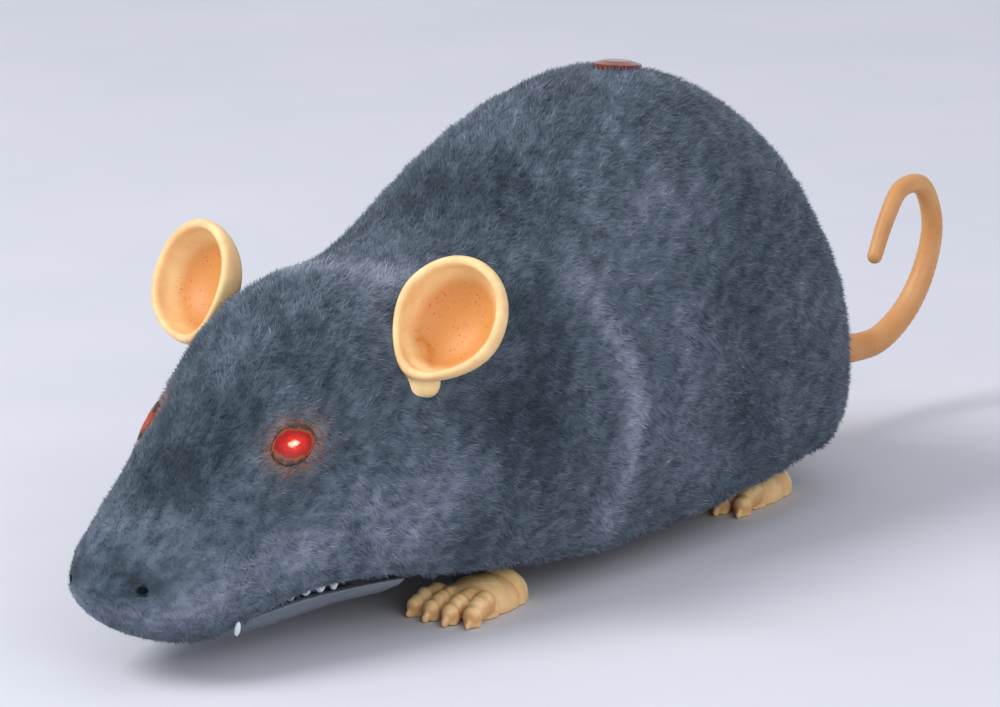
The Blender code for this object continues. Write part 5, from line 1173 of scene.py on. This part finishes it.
def makeTail():
    route = np.array(tail["route"]) * [tail["swing"], tail["reach"], tail["curlHeight"]]
    route[:, 1] += alongToY(1)
    steps = np.concatenate([[0], np.cumsum(np.linalg.norm(np.diff(route, axis=0), axis=1))])
    spots = np.linspace(0, steps[-1], tail["rings"])
    line = np.stack([smoothThrough(spots, steps, route[:, k]) for k in range(3)], axis=1)
    heading = unit(np.gradient(line, axis=0))
    sideways = unit(np.cross(heading, np.tile([1.0, 0.0, 0.0], (len(line), 1))))
    other = np.cross(sideways, heading)
    part = spots / spots[-1]
    radius = tail["rootRadius"] + (tail["tipRadius"] - tail["rootRadius"]) * part
    radius = radius * (1 + tail["ringShare"] * np.sin(2 * math.pi * spots / (tail["ringMm"] * mm)))
    turns = np.linspace(0, 2 * math.pi, tail["around"], endpoint=False)
    cosine, sine = np.cos(turns)[:, None], np.sin(turns)[:, None]
    rows = [line[i] + radius[i] * (cosine * sideways[i] + sine * other[i]) for i in range(len(line))]
    tip = []
    for step in range(1, tail["tipRings"] + 1):  # a round tip
        turn = math.pi / 2 * step / tail["tipRings"]
        ring = line[-1] + (rows[-1] - line[-1]) * math.cos(turn)
        tip.append(ring + heading[-1] * tail["tipRadius"] * math.sin(turn))
    rows = [line[0] + (rows[0] - line[0]) * tail["rootShare"]] + rows + tip
    faces = gridFaces(len(rows), tail["around"], True)
    obj = newPiece("vinyl_tail", np.vstack(rows), faces, materials["vinyl"])
    smoothShaded(cleaned(obj, tail["weld"]))
    points, tint, darkAndShade = pointsOf(obj), tail["tint"], tail["darkAndShade"]
    # painted shade near the body, fading along the tail
    near = np.exp(-np.maximum(points[:, 1] - alongToY(1), 0) / tail["nearReach"])
    mottle = tint["mottle"] * patches(points, tint["mottleMm"], tint["seed"])
    setValues(obj, "sprayAndShade", tint["base"] + tint["near"] * near + mottle)
    setValues(obj, "darkTintAndShade", darkAndShade["base"] + darkAndShade["near"] * near)
    setValues(obj, "freckle", np.zeros(len(points)))
    return place(obj, "body", "vinyl", "tail")


makeTail()
print("tail ready")


# Lower jaw and teeth: the solids' own forms, with the facets worn off

fangs = {
    # place along the body and radius in millimetres
    "upper": [(0.156, 1.00), (0.171, 1.25), (0.187, 1.35), (0.203, 1.20), (0.218, 1.00)],
    "upperInset": 3.2 * mm,
    "plateTop": 1.9 * mm,
    "overJaw": 0.25 * mm,
    "mouthGap": 2.6 * mm,
    "gapShares": [(0.130, 0.35), (0.170, 0.85), (0.217, 1.0), (0.261, 0.75)],
    "lowerPlace": 0.108,
    "lowerRadius": 0.62 * mm,
    "lowerInset": -0.25 * mm,
    "lowerTop": 1.5 * mm,
    "lowerLow": -1.6 * mm,
    "lowerLeanDeg": 14,
}


def lipPoint(share, inset, side):
    half = halfSection(share, inset)
    edge = float(edgeHeight(share))
    return Vector((side * float(np.interp(edge, half[:, 1], half[:, 0])), alongToY(share), edge))


def addUpperFangs(shape):  # from the plate inside the lip down to just over the jaw
    knots = np.array(fangs["gapShares"])
    for side in facing.values():
        for share, radiusMm in fangs["upper"]:
            gap = fangs["mouthGap"] * float(np.interp(share, knots[:, 0], knots[:, 1]))
            low, high = fangs["overJaw"] - gap, fangs["plateTop"]
            middle = lipPoint(share, fangs["upperInset"], side) + Vector((0, 0, (low + high) / 2))
            addLump(shape, middle, (2 * radiusMm * mm, 2 * radiusMm * mm, high - low))


def addLowerFangs(shape):  # one at each front corner of the jaw
    low, high, across = fangs["lowerLow"], fangs["lowerTop"], 2 * fangs["lowerRadius"]
    for side in facing.values():
        middle = lipPoint(fangs["lowerPlace"], fangs["lowerInset"], side) + Vector((0, 0, (low + high) / 2))
        addLump(shape, middle, (across, across, high - low), roll=side * fangs["lowerLeanDeg"])


mouth = {
    "lower_jaw": {"piece": "smooth_jaw", "material": "jaw_plastic", "slot": "grey_plastic",
                  "voxel": 0.32 * mm, "rounds": 9},
    "upper_teeth": {"piece": "upper_tooth_row", "material": "white_plastic", "slot": "white_plastic",
                    "voxel": 0.22 * mm, "rounds": 2, "fangs": addUpperFangs},
    "lower_teeth": {"piece": "lower_tooth_pair", "material": "white_plastic", "slot": "white_plastic",
                    "voxel": 0.16 * mm, "rounds": 3, "fangs": addLowerFangs},
}


def makeMouthPiece(node, settings):
    solid = frame["nodes"][node]
    obj = linked(settings["piece"], solid.data.copy())
    obj.data.transform(solid.matrix_world)
    obj.data.materials.clear()
    obj.data.materials.append(materials[settings["material"]])
    if "fangs" in settings:
        reshaped(obj, settings["fangs"])
    softened(fused(obj, settings["voxel"]), settings["rounds"])
    return place(obj, "body", settings["slot"], node)


for node, settings in mouth.items():
    makeMouthPiece(node, settings)
print("mouth ready")


# Room: a pale floor, a soft sky and two broad lamps

photo = {
    "target": (0.0, -0.02465, 0.0375), "turnDeg": 38.2, "liftDeg": 13.6, "distance": 1.3452, "rollDeg": -1.6,
    "aside": 8.82 * mm, "above": 4.13 * mm, "lens": 246.3, "sensor": 36.0, "nearest": 0.01,
}
room = {
    "floorHalf": 4.0,
    "floorCorners": 9,  # along each side
    "floorHeight": -0.15 * mm,
    "floorColour": "#d9dae1",
    "floorMottle": "#d4d5dd",
    "skyColour": "#eef1fa",
    "skyStrength": 0.70,
    # name, place, size across in metres and power in watts
    "lamps": [("window_lamp", (-0.55, -0.75, 0.95), 0.7, 11.5), ("fill_lamp", (0.95, -0.55, 0.45), 0.8, 4.0)],
    "lampTarget": (0, -0.02, 0.03),
}


def cameraAxes():
    turn, lift, roll = (math.radians(photo[k]) for k in ("turnDeg", "liftDeg", "rollDeg"))
    back = Vector((math.sin(turn) * math.cos(lift), -math.cos(turn) * math.cos(lift), math.sin(lift)))
    right = (-back).cross(Vector((0, 0, 1))).normalized()
    up = right.cross(-back)
    return back, right * math.cos(roll) + up * math.sin(roll), up * math.cos(roll) - right * math.sin(roll)


def lookingAt(spot, target):  # a place at one point, turned to another
    return Matrix.Translation(spot) @ (spot - target).to_track_quat("Z", "Y").to_matrix().to_4x4()


def makeCamera():
    back, right, up = cameraAxes()
    target = Vector(photo["target"])
    eyePoint = target + back * photo["distance"]
    aim = target + right * photo["aside"] + up * photo["above"]
    data = bpy.data.cameras.new("camera")
    data.lens = photo["lens"]
    data.sensor_width = photo["sensor"]
    data.clip_start = photo["nearest"]
    obj = linked("camera", data)
    obj.matrix_world = lookingAt(eyePoint, aim) @ Matrix.Rotation(math.radians(photo["rollDeg"]), 4, "Z")
    bpy.context.scene.camera = obj


def addLamp(name, spot, size, power):
    data = bpy.data.lights.new(name, "AREA")
    data.shape = "DISK"
    data.size = size
    data.energy = power
    linked(name, data).matrix_world = lookingAt(Vector(spot), Vector(room["lampTarget"]))


def floorPaint():
    # seamless paper sweep: matt, faint mottle, pale in the camera and in reflections
    made, tree, shader = startMaterial("paperSweep", {
        "Roughness": 0.9, "Specular IOR Level": 0.1,
    }, room["floorColour"])
    stops = [(0.3, room["floorMottle"]), (0.7, room["floorColour"])]
    mottle = addRamp(tree, noiseAt(tree, 60.0), stops).outputs[0]
    tree.links.new(mottle, shader.inputs["Base Color"])
    return made


def makeFloor():
    half, count = room["floorHalf"], room["floorCorners"]
    spots = np.linspace(-half, half, count)
    points = [(x, y, room["floorHeight"]) for y in spots for x in spots]
    obj = newPiece("floor", points, gridFaces(count, count), floorPaint())


def makeSky():
    world = bpy.data.worlds.new("sky")
    world.use_nodes = True
    bpy.context.scene.world = world
    tree = world.node_tree
    tree.nodes.clear()
    path = addNode(tree, "ShaderNodeLightPath")
    backgrounds = []
    for colour, strength in ((room["skyColour"], room["skyStrength"]), (room["floorColour"], 1.0)):
        settings = {"Color": linearColour(colour), "Strength": strength}
        backgrounds.append(addNode(tree, "ShaderNodeBackground", settings).outputs[0])
    light, shown = backgrounds
    seen = path.outputs["Is Camera Ray"]
    for ray in ("Is Glossy Ray", "Is Transmission Ray"):  # metal and glass show the pale background too
        either = {0: seen, 1: path.outputs[ray]}
        seen = addNode(tree, "ShaderNodeMath", {"operation": "MAXIMUM"}, either).outputs[0]
    mix = addNode(tree, "ShaderNodeMixShader", links={0: seen, 1: light, 2: shown})
    addNode(tree, "ShaderNodeOutputWorld", links={"Surface": mix.outputs[0]})


makeCamera()
makeFloor()
makeSky()
for lamp in room["lamps"]:
    addLamp(*lamp)
bpy.context.scene.view_settings.view_transform = "Standard"
print("room ready")
